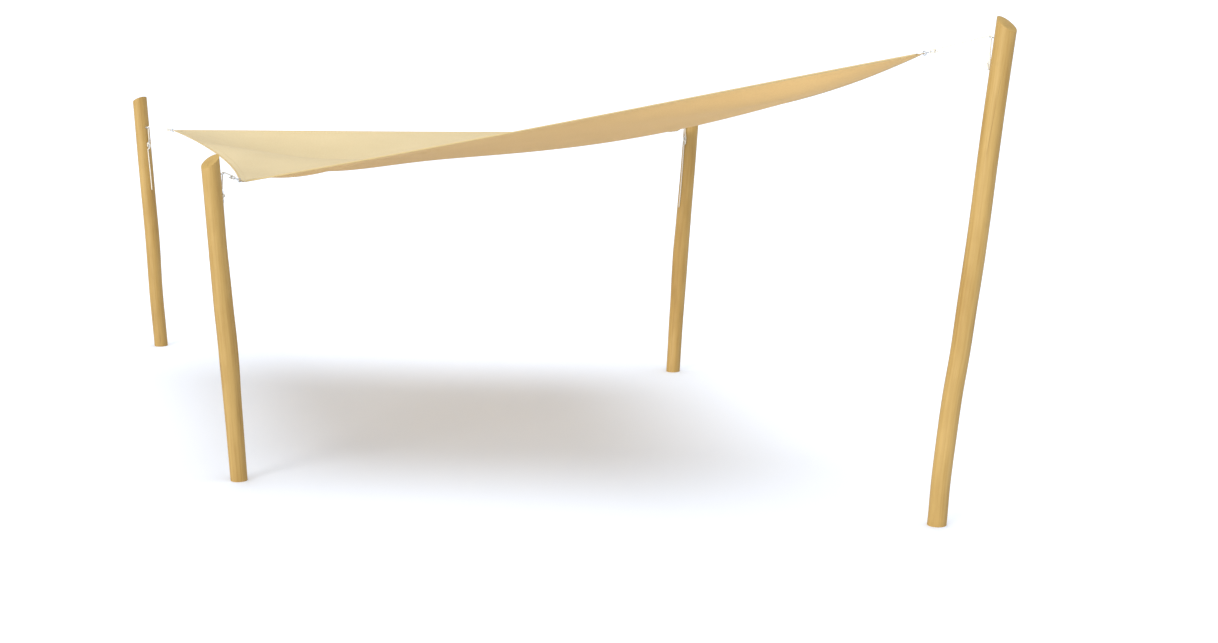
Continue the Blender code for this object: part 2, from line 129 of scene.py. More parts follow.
# The rope's turns round the cleat, in millimetres sideways, out and up from the cleat's middle
cleatTurns = [
    (-6, 24, 75), (-9.5, 16, 45), (-11.5, 11.5, 26), (-11.5, 10.4, 12), (-11.5, 10.4, -14),
    (-8.4, 10.4, -22.2), (0, 10.4, -25.7), (8.4, 10.4, -22.2), (11.5, 10.4, -14), (11.5, 10.4, 2),
    (12.2, 12.6, 13), (12.6, 20, 20.5), (10.9, 28.6, 16), (6.2, 33.4, 9), (0, 35, 3),
    (-6.2, 33.4, -3), (-11.2, 29.4, -8.5), (-14.6, 23.2, -17), (-15.6, 18, -28), (-11.5, 14, -37),
    (-4.5, 13.4, -41.5), (3, 12.8, -43), (8.2, 10.6, -48), (9.9, 8.5, -54), (10.2, 7.6, -60),
    (10.2, 7.6, -66),
]
# The free rope: shares of its length, each with millimetres sideways and out from the log
tailRoute = [
    (0.0, 10.2, 7.6), (0.05, 10.2, 7.5), (0.3, 8.4, 7.0), (0.55, 6.4, 7.0), (0.8, 5.6, 7.2),
    (1.0, 6.0, 8.0),
]


def smoothRoute(points, spacing):
    # Points along a smooth curve through the given ones
    route = [Vector(point) for point in points]
    smooth = []
    for index in range(len(route) - 1):
        before = route[max(index - 1, 0)]
        start = route[index]
        end = route[index + 1]
        after = route[min(index + 2, len(route) - 1)]
        steps = max(1, round((end - start).length / spacing))
        for step in range(steps):
            share = step / steps
            smooth.append(0.5 * (2 * start + (end - before) * share
                                 + (2 * before - 5 * start + 4 * end - after) * share ** 2
                                 + (3 * start - before - 3 * end + after) * share ** 3))
    smooth.append(route[-1])
    return smooth


def blendForm(form, share):
    # Bow and girth at a share of the log's height
    for low, high in zip(form, form[1:]):
        if share <= high[0]:
            part = (share - low[0]) / (high[0] - low[0])
            part = part * part * (3 - 2 * part)
            return low[1] + (high[1] - low[1]) * part, low[2] + (high[2] - low[2]) * part
    return form[-1][1], form[-1][2]


def logLine(post):
    # Centres and radii of the log's stations, from below ground to past the top cut
    foot = Vector((*post["foot"], 0))
    slope = Vector((*post["outward"], 0)) * math.tan(math.radians(post["lean"]))
    length = post["height"]
    shares = [-0.1] + [index / (logStations - 1) for index in range(logStations)] + [1.1]
    line = []
    for share in shares:
        bow, factor = blendForm(post["form"], min(max(share, 0.0), 1.0))
        centre = foot + slope * (share * length) + Vector((0, 0, share * length)) + bowDirection * bow
        line.append((centre, postRadius * factor))
    return line


def axes(first, second, third, origin):
    return Matrix(((first.x, second.x, third.x, origin.x), (first.y, second.y, third.y, origin.y),
                   (first.z, second.z, third.z, origin.z), (0, 0, 0, 1)))


def levelAxes(out, origin):
    # X as given, Y level
    across = Vector((0, 0, 1)).cross(out).normalized()
    return axes(out, across, out.cross(across), origin)


def logStation(line, height):
    # Centre, radius and direction of the log at a height
    for low, high in zip(line, line[1:]):
        if height <= high[0].z:
            break
    share = (height - low[0].z) / (high[0].z - low[0].z)
    return low[0].lerp(high[0], share), low[1] + (high[1] - low[1]) * share, (high[0] - low[0]).normalized()


def logFrame(post, height):
    # Axes at a height: X sideways, Y towards the sail, Z up the log, origin on the log's surface
    centre, radius, up = logStation(logLine(post), height)
    outward = Vector((*post["outward"], 0))
    inward = (up * outward.dot(up) - outward).normalized()
    return axes(inward.cross(up), inward, up, centre + inward * radius)


def eyeCentre(post):
    return logFrame(post, post["eye"]) @ Vector((0, eyeStandOff + eyeRingRadius, 0))


def edgePoint(edge, share):
    first, second, inward, inwardLean, down, downLean = edges[edge]
    start = Vector(posts[first]["corner"])
    end = Vector(posts[second]["corner"])
    run = end - start
    across = Vector((-run.y, run.x, 0)).normalized()
    middle = (start + end) / 2
    if across.dot(Vector((longHalf - middle.x, -middle.y, 0))) < 0:
        across = -across
    weight = 4 * share * (1 - share)
    lean = 2 * share - 1
    pull = across * (weight * inward * (1 + inwardLean * lean))
    return start + run * share + pull - Vector((0, 0, weight * down * (1 + downLean * lean)))


def sailPoint(u, v):
    # A blend of the four curved edges: u runs along farNear and sideTall, v along farSide and nearTall
    far, near, side, tall = (Vector(posts[name]["corner"]) for name in cornerShares)
    alongU = edgePoint("farNear", u) * (1 - v) + edgePoint("sideTall", u) * v
    alongV = edgePoint("farSide", v) * (1 - u) + edgePoint("nearTall", v) * u
    flat = far * ((1 - u) * (1 - v)) + near * (u * (1 - v)) + side * ((1 - u) * v) + tall * (u * v)
    rise = belly[0] + belly[1] * (u - v) + belly[2] * (u + v - 1)
    for height, placeU, placeV, reachU, reachV in swellings:
        rise += height * math.exp(-((u - placeU) / reachU) ** 2 - ((v - placeV) / reachV) ** 2)
    return alongU + alongV - flat + Vector((0, 0, 16 * u * v * (1 - u) * (1 - v) * rise))


def sailNormal(u, v):
    step = 0.002
    alongU = sailPoint(min(u + step, 1), v) - sailPoint(max(u - step, 0), v)
    alongV = sailPoint(u, min(v + step, 1)) - sailPoint(u, max(v - step, 0))
    normal = alongU.cross(alongV).normalized()
    return normal if normal.z > 0 else -normal


def cornerFrame(name):
    # X out of the sail's corner, Z off the cloth, origin at the corner
    inside = [cornerReach + (1 - 2 * cornerReach) * share for share in cornerShares[name]]
    origin = Vector(posts[name]["corner"])
    return levelAxes((origin - sailPoint(*inside)).normalized(), origin)


def pullFrame(name, post):
    # X along the pull from the cloth's cut to the eye, origin in the middle of the tab's hole
    seam = cornerFrame(name) @ Vector((-post["cutBack"], 0, 0))
    out = (eyeCentre(post) - seam).normalized()
    return levelAxes(out, seam + out * post["cutBack"])


def ringCentre():
    # Centres of ring and hook lie on the pull's X
    half = tabThickness / 2
    bulge = ringRadius - math.sqrt(ringRadius ** 2 - half ** 2)
    return ringRadius + tabHole * math.cos(math.pi / tabHoleSides) - ringWire - gap - bulge


def hookCentres():
    near = ringCentre() + ringRadius - ringWire - hookWire - seat + hookEndRadius
    return near, near + hookLength


# Materials

class Wire:
    # A value on its way through a material: sums and products of wires add the Math nodes
    def __init__(self, tree, socket=None):
        self.tree = tree
        self.socket = socket

    def add(self, kind, settings=None, inputs=None, output=0):
        node = self.tree.nodes.new(kind)
        for name, value in (settings or {}).items():
            if name == "stops":
                fillRamp(node.color_ramp, value)
            else:
                setattr(node, name, value)
        for name, value in (inputs or {}).items():
            if isinstance(value, Wire):
                self.tree.links.new(value.socket, node.inputs[name])
            else:
                node.inputs[name].default_value = asColour(value)
        return Wire(self.tree, node.outputs[output])

    def maths(self, operation, first, second=0.0):
        return self.add("ShaderNodeMath", {"operation": operation}, {0: first, 1: second})

    def __add__(self, other):
        return self.maths("ADD", self, other)

    def __sub__(self, other):
        return self.maths("SUBTRACT", self, other)

    def __rsub__(self, other):
        return self.maths("SUBTRACT", other, self)

    def __mul__(self, other):
        return self.maths("MULTIPLY", self, other)

    def __truediv__(self, other):
        return self.maths("DIVIDE", self, other)

    def __pow__(self, other):
        return self.maths("POWER", self, other)

    __radd__ = __add__
    __rmul__ = __mul__

    def sine(self):
        return self.maths("SINE", self)

    def cosine(self):
        return self.maths("COSINE", self)

    def distance(self):
        return self.maths("ABSOLUTE", self)

    def cycles(self, length):
        # The angle that goes once round in each length
        return self * (2 * math.pi / length)

    def lifted(self):
        # A wave from -1 to 1 brought to 0 to 1
        return self * 0.5 + 0.5

    def step(self, low, high):
        # 0 below low, 1 above high, eased between; low may be the larger
        inputs = {"Value": self, "From Min": low, "From Max": high}
        return self.add("ShaderNodeMapRange", {"interpolation_type": "SMOOTHSTEP"}, inputs)

    def ramp(self, *stops):
        return self.add("ShaderNodeValToRGB", {"stops": stops}, {"Fac": self})

    def blend(self, first, second):
        # Between two colours, by this wire
        return self.add("ShaderNodeMix", {"data_type": "RGBA"}, {0: self, 6: first, 7: second}, 2)


def hexColour(text, factor=1.0):
    # A colour as it is seen on a screen, turned into the linear one that a shader takes
    values = [int(text[index:index + 2], 16) / 255 for index in (0, 2, 4)]
    linear = [value / 12.92 if value <= 0.04045 else ((value + 0.055) / 1.055) ** 2.4 for value in values]
    return (*(value * factor for value in linear), 1.0)


def asColour(value):
    return hexColour(value) if isinstance(value, str) else value


def fillRamp(ramp, stops):
    while len(ramp.elements) < len(stops):
        ramp.elements.new(0.5)
    for element, (position, colour) in zip(ramp.elements, stops):
        element.position = position
        element.color = asColour(colour)


def newMaterial(name, **settings):
    material = bpy.data.materials.new(name)
    material.use_nodes = True
    shader = material.node_tree.nodes["Principled BSDF"]
    for socket, value in settings.items():
        shader.inputs[socket].default_value = value
    return material, Wire(material.node_tree)


def feed(socket, wire):
    wire.tree.links.new(wire.socket, wire.tree.nodes["Principled BSDF"].inputs[socket])


def joinXyz(start, x, y, z=0.0):
    return start.add("ShaderNodeCombineXYZ", {}, {0: x, 1: y, 2: z})


def noise(start, place, scale=1.0, detail=2.0, roughness=0.5):
    inputs = {"Vector": place, "Scale": scale, "Detail": detail, "Roughness": roughness}
    return start.add("ShaderNodeTexNoise", {}, inputs)


def uvParts(start):
    place = start.add("ShaderNodeUVMap", {"uv_map": "flat"})
    return [start.add("ShaderNodeSeparateXYZ", {}, {0: place}, part) for part in (0, 1)]


def objectPlace(start):
    return start.add("ShaderNodeTexCoord", output="Object")


def feedBump(height, depth, strength):
    inputs = {"Height": height, "Distance": depth, "Strength": strength}
    feed("Normal", height.add("ShaderNodeBump", {}, inputs))


# The logs' wood: each kind of grain has its scale round the log and its scale up it
timberLook = {"light": "B59557", "middle": "AB8B4D", "deep": "9D7B3E", "knot": "5C3E20", "crack": "6A4C28",
              "sway": (6, 0.9), "streaks": (60, 0.8), "fibres": (420, 6), "patches": (9, 2.2),
              "knotScale": 4.2, "knotStretch": 0.8, "knotShare": (0.62, 0.64), "knotFade": (0.046, 0.022),
              "haloFade": (0.12, 0.04), "cracks": (15, 0.42), "crackFade": (0.010, 0.002),
              "crackSpread": (7, 0.6), "relief": 0.0012}


def timberMaterial():
    # Straight-grained debarked log: the pattern runs up each log, in coordinates made from its own map
    material, start = newMaterial("timber", Roughness=0.6, IOR=1.45)
    around, along = uvParts(start)
    turn = around.cycles(1)
    x = turn.cosine() * postRadius
    y = turn.sine() * postRadius

    def grainPlace(kind, shift=0.0):
        across, up = timberLook[kind]
        return joinXyz(start, x * across + shift, y * across, along * up)

    # streaks of early and late wood, long up the log
    sway = noise(start, grainPlace("sway"))
    streaks = noise(start, grainPlace("streaks", sway * 3), detail=5.0, roughness=0.62)
    fibres = noise(start, grainPlace("fibres"), detail=4.0, roughness=0.6)
    patches = noise(start, grainPlace("patches"), detail=3.0)
    tone = streaks * 0.40 + fibres * 0.24 + patches * 0.40
    colour = tone.ramp((0.38, timberLook["deep"]), (0.52, timberLook["middle"]), (0.66, timberLook["light"]))
    # knots: few, small and dark, with a paler ring of wood bent round each
    cells = {"Vector": joinXyz(start, x, y, along * timberLook["knotStretch"]),
             "Scale": timberLook["knotScale"]}
    fromKnot, knotColour = (start.add("ShaderNodeTexVoronoi", {}, cells, output) for output in (0, 1))
    some = start.add("ShaderNodeSeparateColor", {}, {0: knotColour}).step(*timberLook["knotShare"])
    knot = fromKnot.step(*timberLook["knotFade"]) * some
    halo = fromKnot.step(*timberLook["haloFade"]) * some
    colour = (halo * 0.30).blend(colour, hexColour(timberLook["middle"], 0.8))
    colour = (knot * 0.85).blend(colour, timberLook["knot"])
    # drying cracks: hair-thin, up the log, here and there
    cells = {"Vector": grainPlace("cracks", sway * 1.2), "Scale": 1.0}
    fromCrack = start.add("ShaderNodeTexVoronoi", {"feature": "DISTANCE_TO_EDGE"}, cells)
    crack = fromCrack.step(*timberLook["crackFade"])
    crack *= noise(start, grainPlace("crackSpread", 3.1)).step(0.56, 0.64)
    feed("Base Color", (crack * 0.45).blend(colour, timberLook["crack"]))
    feed("Roughness", tone.step(0.2, 0.9) * -0.16 + 0.68)
    feedBump(fibres * 0.25 + streaks * 0.5 - crack * 1.6 + knot * 0.5, timberLook["relief"], 0.8)
    return material


endGrainLook = {"light": "AE9353", "dark": "9F8146", "heart": "94753F", "crack": "6A4A28",
                "ringWidth": 0.0042, "wobble": 0.010, "heartFade": (0.045, 0.006),
                "crackEnd": (0.074, 0.05), "crackFade": (0.006, 0.001), "relief": 0.0006}


def endGrainMaterial():
    # Growth rings round the pith, with cracks that run out from it; the map is flat on the cut
    material, start = newMaterial("endGrain", Roughness=0.75)
    x, y = uvParts(start)
    place = joinXyz(start, x, y)
    wobble = (noise(start, place, 14.0) - 0.5) * endGrainLook["wobble"]
    radius = start.add("ShaderNodeVectorMath", {"operation": "LENGTH"}, {0: place}, 1) + wobble
    rings = radius.cycles(endGrainLook["ringWidth"]).sine().lifted()
    spread = noise(start, joinXyz(start, radius * 160, 0.0), detail=3.0)
    tone = rings * 0.45 + spread * 0.4
    colour = tone.ramp((0.12, endGrainLook["dark"]), (0.75, endGrainLook["light"]))
    colour = (radius.step(*endGrainLook["heartFade"]) * 0.25).blend(colour, endGrainLook["heart"])
    angle = start.maths("ARCTAN2", y, x)
    spokes = noise(start, joinXyz(start, angle * 2.2, radius * 3)) - 0.5
    crack = spokes.distance().step(*endGrainLook["crackFade"]) * radius.step(*endGrainLook["crackEnd"])
    saw = noise(start, joinXyz(start, x * 30, y * 600))
    feed("Base Color", (crack * 0.5).blend(colour, endGrainLook["crack"]))
    feedBump(rings * 0.4 + saw * 0.5 - crack * 2, endGrainLook["relief"], 0.7)
    return material


clothLook = {"rib": 0.0032, "stitch": 0.0042, "relief": 0.0005, "bounce": 0.14, "through": "CFA968"}


def clothMaterial(name, light, dark):
    # Knitted shade cloth: fine ribs one way, loops across them, and a soft mottle; the map is in metres
    material, start = newMaterial(name, Roughness=0.85)
    x, y = uvParts(start)
    place = joinXyz(start, x, y)
    ribs = x.cycles(clothLook["rib"]).cosine().lifted()
    loops = (y.cycles(clothLook["stitch"]) + ribs * 2).cosine().lifted()
    grain = noise(start, place, 60.0, 4.0, 0.75)
    cloud = noise(start, place, 1.6, 3.0)
    thread = noise(start, joinXyz(start, x * 320, y * 6))
    tone = grain * 0.55 + cloud * 0.25 + thread * 0.20
    colour = tone.ramp((0.36, dark), (0.62, light))
    # the raised tops where ribs and loops meet are lightened: a painted highlight on the knit
    feed("Base Color", (ribs * loops * 0.10).blend(colour, hexColour(light, 1.05)))
    feed("Roughness", 0.86 - tone * 0.12)
    feedBump(ribs * 0.6 + loops * 0.4, clothLook["relief"], 0.5)
    # some of the light on one face comes out of the other
    through = start.add("ShaderNodeBsdfTranslucent", {}, {"Color": clothLook["through"]})
    face = Wire(start.tree, start.tree.nodes["Principled BSDF"].outputs[0])
    inputs = {0: clothLook["bounce"], 1: face, 2: through}
    mixed = start.add("ShaderNodeMixShader", {}, inputs)
    start.tree.links.new(mixed.socket, start.tree.nodes["Material Output"].inputs["Surface"])
    return material


webbingLook = {"hemPitch": 0.0021, "tabPitch": 0.0026, "slant": 1.7, "relief": 0.0006}


def webbingMaterial(name, light, dark, pitch):
    # Woven tape: a twill that runs slantwise, with painted shade darkening its valleys and a random fuzz in
    # its tone; the map is in metres
    material, start = newMaterial(name, Roughness=0.8, **{"Sheen Weight": 0.1})
    x, y = uvParts(start)
    rows = (x + y).cycles(pitch).sine().lifted()
    picks = (x - y * 0.4).cycles(pitch * webbingLook["slant"]).sine().lifted()
    fuzz = noise(start, joinXyz(start, x, y), 240.0, 3.0, 0.7)
    tone = rows * 0.35 + picks * 0.2 + fuzz * 0.5
    feed("Base Color", tone.ramp((0.2, dark), (0.75, light)))
    feed("Roughness", 0.9 - tone * 0.15)
    feedBump(rows * 0.6 + picks * 0.4, webbingLook["relief"], 0.7)
    return material


steelLook = {"colour": "C9CBCC", "dull": "9FA2A4", "lines": (900, 120, 500), "relief": 0.0001}


def steelMaterial():
    # Satin stainless steel with fine polishing lines and a few dull handling marks
    material, start = newMaterial("steel", Metallic=1.0, Roughness=0.3)
    place = objectPlace(start)
    stretched = start.add("ShaderNodeMapping", {}, {"Vector": place, "Scale": steelLook["lines"]})
    lines = noise(start, stretched, detail=3.0)
    marks = noise(start, place, 55.0, 4.0, 0.65).step(0.48, 0.72)
    feed("Base Color", marks.blend(steelLook["colour"], steelLook["dull"]))
    feed("Roughness", lines * 0.12 + marks * 0.14 + 0.20)
    feedBump(lines, steelLook["relief"], 0.4)
    return material


ropeLook = {"light": "E8E2D4", "dark": "B0A896", "soil": "D8CFB8", "plaits": 8, "lay": 0.0052,
            "strand": 0.0007, "relief": 0.0007}


def ropeMaterial():
    # Braided polyester: two sets of plaits that cross; u goes round the rope once, v is in metres
    material, start = newMaterial("rope", Roughness=0.7, **{"Sheen Weight": 0.15})
    x, y = uvParts(start)
    first = (x * ropeLook["plaits"] + y / (2 * ropeLook["lay"])).cycles(1)
    second = (x * ropeLook["plaits"] - y / (2 * ropeLook["lay"])).cycles(1)
    plaits = first.sine() * second.sine()
    height = plaits.distance() ** 0.5
    side = plaits.step(-0.05, 0.05) * 2 - 1
    strands = (side * y.cycles(ropeLook["strand"]) + x * 40).sine().lifted()
    soil = noise(start, joinXyz(start, x * 3, y * 60), detail=3.0).step(0.45, 0.75)
    # the low places between the plaits are darker: painted shade in the braid's grooves
    colour = height.ramp((0.05, ropeLook["dark"]), (0.5, ropeLook["light"]))
    feed("Base Color", (soil * 0.25).blend(colour, ropeLook["soil"]))
    feed("Roughness", 0.82 - height * 0.15)
    feedBump(height * 0.85 + strands * 0.15, ropeLook["relief"], 0.8)
    return material


threadLook = {"twist": 1800.0, "relief": 0.0002}


def threadMaterial(name, light, dark):
    # Twisted sewing thread and twine; the pattern is in the object's own coordinates
    material, start = newMaterial(name, Roughness=0.65)
    twist = noise(start, objectPlace(start), threadLook["twist"])
    feed("Base Color", twist.ramp((0.35, dark), (0.65, light)))
    feed("Roughness", twist * 0.2 + 0.55)
    feedBump(twist, threadLook["relief"], 0.6)
    return material


paints = {
    "timber": timberMaterial(),
    "endGrain": endGrainMaterial(),
    "cloth": clothMaterial("cloth", "D1C39C", "C6B78F"),
    # the underside copy of the cloth: a warmer, more saturated colour that paints the shade under the sail
    # onto the same cloth
    "clothUnderPaintedShade": clothMaterial("clothUnderPaintedShade", "E0BA7A", "D4AE70"),
    "hem": webbingMaterial("hem", "C4AE7C", "AF9661", webbingLook["hemPitch"]),
    "webbing": webbingMaterial("webbing", "BCA16A", "9C8050", webbingLook["tabPitch"]),
    "steel": steelMaterial(),
    "rope": ropeMaterial(),
    "thread": threadMaterial("thread", "EAD7A6", "B8965A"),
    "twine": threadMaterial("twine", "E9E4D6", "A79F8C"),
}
print("materials:", len(paints))


# Ways of making that several pieces share
makeLook = {"weld": 0.00001, "wireSides": 16}


def clearPick():
    bpy.ops.object.select_all(action="DESELECT")


def takeUp(item):
    clearPick()
    bpy.context.view_layer.objects.active = item
    item.select_set(True)


def named(name, *looks):
    # The primitive that was just added, with its name and its finishes
    item = bpy.context.object
    item.name = name
    item.data.name = name
    for look in looks:
        item.data.materials.append(paints[look])
    return item


def pick(item, test, kind):
    # Edit mode on the item, with only the faces, edges or vertices that pass the test selected
    takeUp(item)
    bpy.ops.object.mode_set(mode="EDIT")
    bpy.ops.mesh.select_mode(type={"faces": "FACE", "edges": "EDGE", "verts": "VERT"}[kind])
    bpy.ops.mesh.select_all(action="DESELECT")
    form = bmesh.from_edit_mesh(item.data)
    for element in getattr(form, kind):
        if test(element):
            element.select_set(True)
    form.select_flush_mode()
    bmesh.update_edit_mesh(item.data)


def leaveEdit():
    bpy.ops.object.mode_set(mode="OBJECT")


def edit(item, operator, test=lambda element: True, kind="faces", **settings):
    # One mesh operator on the elements that pass the test
    pick(item, test, kind)
    operator(**settings)
    leaveEdit()


def applyModifier(item, kind, **settings):
    takeUp(item)
    modifier = item.modifiers.new(kind.lower(), kind)
    for name, value in settings.items():
        setattr(modifier, name, value)
    bpy.ops.object.modifier_apply(modifier=modifier.name)


def combine(item, other, operation):
    # The other piece is added to the item or cut out of it, and is then done with
    applyModifier(item, "BOOLEAN", operation=operation, solver="EXACT", object=other)
    bpy.data.objects.remove(other, do_unlink=True)


def joinInto(item, others):
    takeUp(item)
    for other in others:
        other.select_set(True)
    bpy.ops.object.join()


def placeMesh(item, place=Matrix.Identity(4)):
    # The place goes into the mesh, and the object stays at the origin
    bpy.context.view_layer.update()
    item.data.transform(place @ item.matrix_world)
    item.matrix_world = Matrix.Identity(4)
    item.data.update()


def smooth(item, angle):
    takeUp(item)
    bpy.ops.object.shade_smooth_by_angle(angle=math.radians(angle))


def finish(item, nodes=()):
    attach(item, "root")
    if nodes:
        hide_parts(*nodes)


def box(name, look, size, middle=(0, 0, 0)):
    clearPick()
    bpy.ops.mesh.primitive_cube_add(size=1, location=middle)
    item = named(name, look)
    item.scale = size
    placeMesh(item)
    return item


def wireRing(name, radius, wire, sides, middle=(0, 0, 0)):
    clearPick()
    bpy.ops.mesh.primitive_torus_add(location=middle, major_radius=radius, minor_radius=wire,
                                     major_segments=sides, minor_segments=makeLook["wireSides"])
    return named(name, "steel")


def circle(middle, first, second, sizes):
    # Points round a middle, from the first axis to the second, one for each size
    points = []
    for step, size in enumerate(sizes):
        angle = 2 * math.pi * step / len(sizes)
        points.append(middle + first * (size * math.cos(angle)) + second * (size * math.sin(angle)))
    return points


def ringsAlong(route, radii, sides):
    # Rings of points round a route, carried along without twist; the radii are a list or one for all
    rings = []
    normal = None
    for index, point in enumerate(route):
        before = route[max(index - 1, 0)]
        after = route[min(index + 1, len(route) - 1)]
        ahead = (after - before).normalized()
        if normal is None:
            normal = ahead.orthogonal()
        normal = (normal - ahead * normal.dot(ahead)).normalized()
        size = radii[index] if isinstance(radii, list) else radii
        rings.append(circle(point, normal, ahead.cross(normal), [size] * sides))
    return rings


def rollGrid(name, rings, look, closedRound=True, closedLong=False, wrap=1.0):
    # A grid whose rows are laid round the rings of points; its map is wrap round the ring and metres along
    around = len(rings[0])
    count = len(rings)
    acrossFaces = around if closedRound else around - 1
    alongFaces = count if closedLong else count - 1
    clearPick()
    bpy.ops.mesh.primitive_grid_add(x_subdivisions=acrossFaces, y_subdivisions=alongFaces, size=2)
    item = named(name, look)
    mesh = item.data
    lengths = [0.0]
    for index in range(1, alongFaces + 1):
        step = rings[index % count][0] - rings[index - 1][0]
        lengths.append(lengths[-1] + step.length)
    shares = []
    for vert in mesh.vertices:
        column = round((vert.co.x + 1) / 2 * acrossFaces)
        row = round((vert.co.y + 1) / 2 * alongFaces)
        shares.append((column / acrossFaces * wrap, lengths[row]))
        vert.co = rings[row % count][column % around]
    layer = mesh.uv_layers[0]
    layer.name = "flat"
    for loop in mesh.loops:
        layer.data[loop.index].uv = shares[loop.vertex_index]
    if closedRound:
        pick(item, lambda vert: True, "verts")
        bpy.ops.mesh.remove_doubles(threshold=makeLook["weld"])
        if not closedLong:
            bpy.ops.mesh.select_all(action="DESELECT")
            bpy.ops.mesh.select_non_manifold()
            bpy.ops.mesh.fill_holes(sides=0)
        leaveEdit()
    mesh.shade_smooth()
    return item


def turned(name, profile, sides, closedLong=False):
    # A steel piece turned round the Y axis, from a profile of places along it and radii in millimetres
    first, second = Vector((0, 0, 1)), Vector((1, 0, 0))
    rings = [circle(Vector((0, out / 1000, 0)), first, second, [radius / 1000] * sides)
             for out, radius in profile]
    return rollGrid(name, rings, "steel", closedLong=closedLong)


# The ropes' free ends: cords, so they come first
cordLook = {"sides": 24, "spacing": 0.0032, "routeSpacing": 0.030, "tipSides": 20, "tipRings": 13,
            "tipStart": 0.002, "tipPitch": 0.0011, "tipProud": 0.0001, "tipRidge": 0.0005}


def tailPoints(post):
    top = post["eye"] - cleatDrop + cleatTurns[-1][2] / 1000 - gap
    points = []
    for share, side, out in tailRoute:
        place = logFrame(post, top - share * post["tail"])
        points.append(place @ Vector((side / 1000, out / 1000, 0)))
    return smoothRoute(points, cordLook["routeSpacing"])


def buildTail(name, post):
    route = tailPoints(post)
    fine = smoothRoute(route, cordLook["spacing"])
    tail = rollGrid(name + "FreeRope", ringsAlong(fine, ropeRadius, cordLook["sides"]), "rope")
    finish(tail, [name + "Tail"])
    # the end is bound with twine so that it can't fray
    back = (fine[-6] - fine[-1]).normalized()
    tipRoute = []
    radii = []
    for index in range(cordLook["tipRings"]):
        tipRoute.append(fine[-1] + back * (cordLook["tipStart"] + cordLook["tipPitch"] * index))
        radii.append(ropeRadius + cordLook["tipProud"] + cordLook["tipRidge"] * (index % 2))
    tip = rollGrid(name + "RopeTip", ringsAlong(tipRoute, radii, cordLook["tipSides"]), "twine")
    finish(tip)
    tuple(route[0])


for name, post in posts.items():
    buildTail(name, post)
print("free rope ends done")


# Floor and light
studio = {"floor": 500, "paper": (0.796, 0.866, 0.972), "mottle": 1.006, "mottleScale": 0.4,
          "sky": (0.780, 0.755, 0.745, 1.0), "lampHeight": 10,
          "top": {"strength": 1.75, "angle": 52, "from": (0.0, 0.06, 1.0), "colour": (1.0, 1.0, 1.0)},
          "key": {"strength": 3.0, "angle": 30, "from": (0.11, -0.99, 0.10), "colour": (1.0, 0.98, 0.94)}}


def addSun(name, setting):
    bpy.ops.object.light_add(type="SUN", location=(0, 0, studio["lampHeight"]))
    sun = bpy.context.object
    sun.name = name
    sun.data.energy = setting["strength"]
    sun.data.color = setting["colour"]
    sun.data.angle = math.radians(setting["angle"])
    sun.rotation_euler = Vector(setting["from"]).to_track_quat("Z", "Y").to_euler()


def buildStudio():
    material, start = newMaterial("paper", Roughness=1.0, **{"Specular IOR Level": 0.0})
    dull = (*studio["paper"], 1.0)
    clear = (*(level * studio["mottle"] for level in studio["paper"]), 1.0)
    mottle = noise(start, objectPlace(start), studio["mottleScale"])
    feed("Base Color", mottle.ramp((0.3, dull), (0.7, clear)))
    clearPick()
    bpy.ops.mesh.primitive_plane_add(size=studio["floor"], location=(longHalf, 0, 0))
    floor = bpy.context.object
    floor.name = "floor"
    floor.data.materials.append(material)
    addSun("topLight", studio["top"])
    addSun("keyLight", studio["key"])
    world = bpy.data.worlds.new("studio")
    world.use_nodes = True
    world.node_tree.nodes["Background"].inputs["Color"].default_value = studio["sky"]
    bpy.context.scene.world = world
    bpy.context.scene.view_settings.view_transform = "Standard"


buildStudio()

# Sail: one sheet on the surface that the corners and curved edges give
sailLook = {"cells": 110, "thickness": 0.0016, "foldHeight": 0.0025, "foldReach": 0.9, "folds": 9,
            "length": 5.62, "cornerStep": 0.00001, "cutReach": 0.6}


def sheetPoint(u, v):
    # The cloth with faint pull folds that fan out from the corners
    lift = 0.0
    for cornerU, cornerV in cornerShares.values():
        reach = math.hypot(u - cornerU, v - cornerV) * sailLook["length"] / sailLook["foldReach"]
        if reach < 1:
            angle = math.atan2(abs(v - cornerV), abs(u - cornerU) + sailLook["cornerStep"])
            fan = math.sin(angle * 2 * sailLook["folds"]) * math.sin(2 * angle)
            lift += sailLook["foldHeight"] * fan * math.sin(math.pi * reach) ** 2
    return sailPoint(u, v) + Vector((0, 0, lift))


def buildSail():
    cells = sailLook["cells"]
    clearPick()
    bpy.ops.mesh.primitive_grid_add(x_subdivisions=cells, y_subdivisions=cells, size=2)
    sail = named("shadeCloth", "cloth", "clothUnderPaintedShade")
    mesh = sail.data
    shares = [((vert.co.x + 1) / 2, (vert.co.y + 1) / 2) for vert in mesh.vertices]
    for vert, (u, v) in zip(mesh.vertices, shares):
        vert.co = sheetPoint(u, v)
    layer = mesh.uv_layers[0]
    layer.name = "flat"
    for loop in mesh.loops:
        u, v = shares[loop.vertex_index]
        layer.data[loop.index].uv = (u * sailLook["length"], v * sailLook["length"])
    # the four tips are cut off where the webbing takes over
    for name, post in posts.items():
        corner = cornerFrame(name)
        point = corner @ Vector((-post["cutBack"], 0, 0))
        edit(sail, bpy.ops.mesh.bisect,
             lambda face: (face.calc_center_median() - corner.translation).length < sailLook["cutReach"],
             plane_co=point, plane_no=corner.to_3x3().col[0], clear_outer=True)
    area = sum(face.area for face in mesh.polygons)
    # the lower face of the shell takes the underside copy of the cloth, whose colour is painted shade
    applyModifier(sail, "SOLIDIFY", thickness=sailLook["thickness"], offset=0, material_offset=1)
    mesh.shade_smooth()
    finish(sail, ["sail"])
    return sail, area


sail, sailArea = buildSail()
print("sail done, area", round(sailArea, 3))


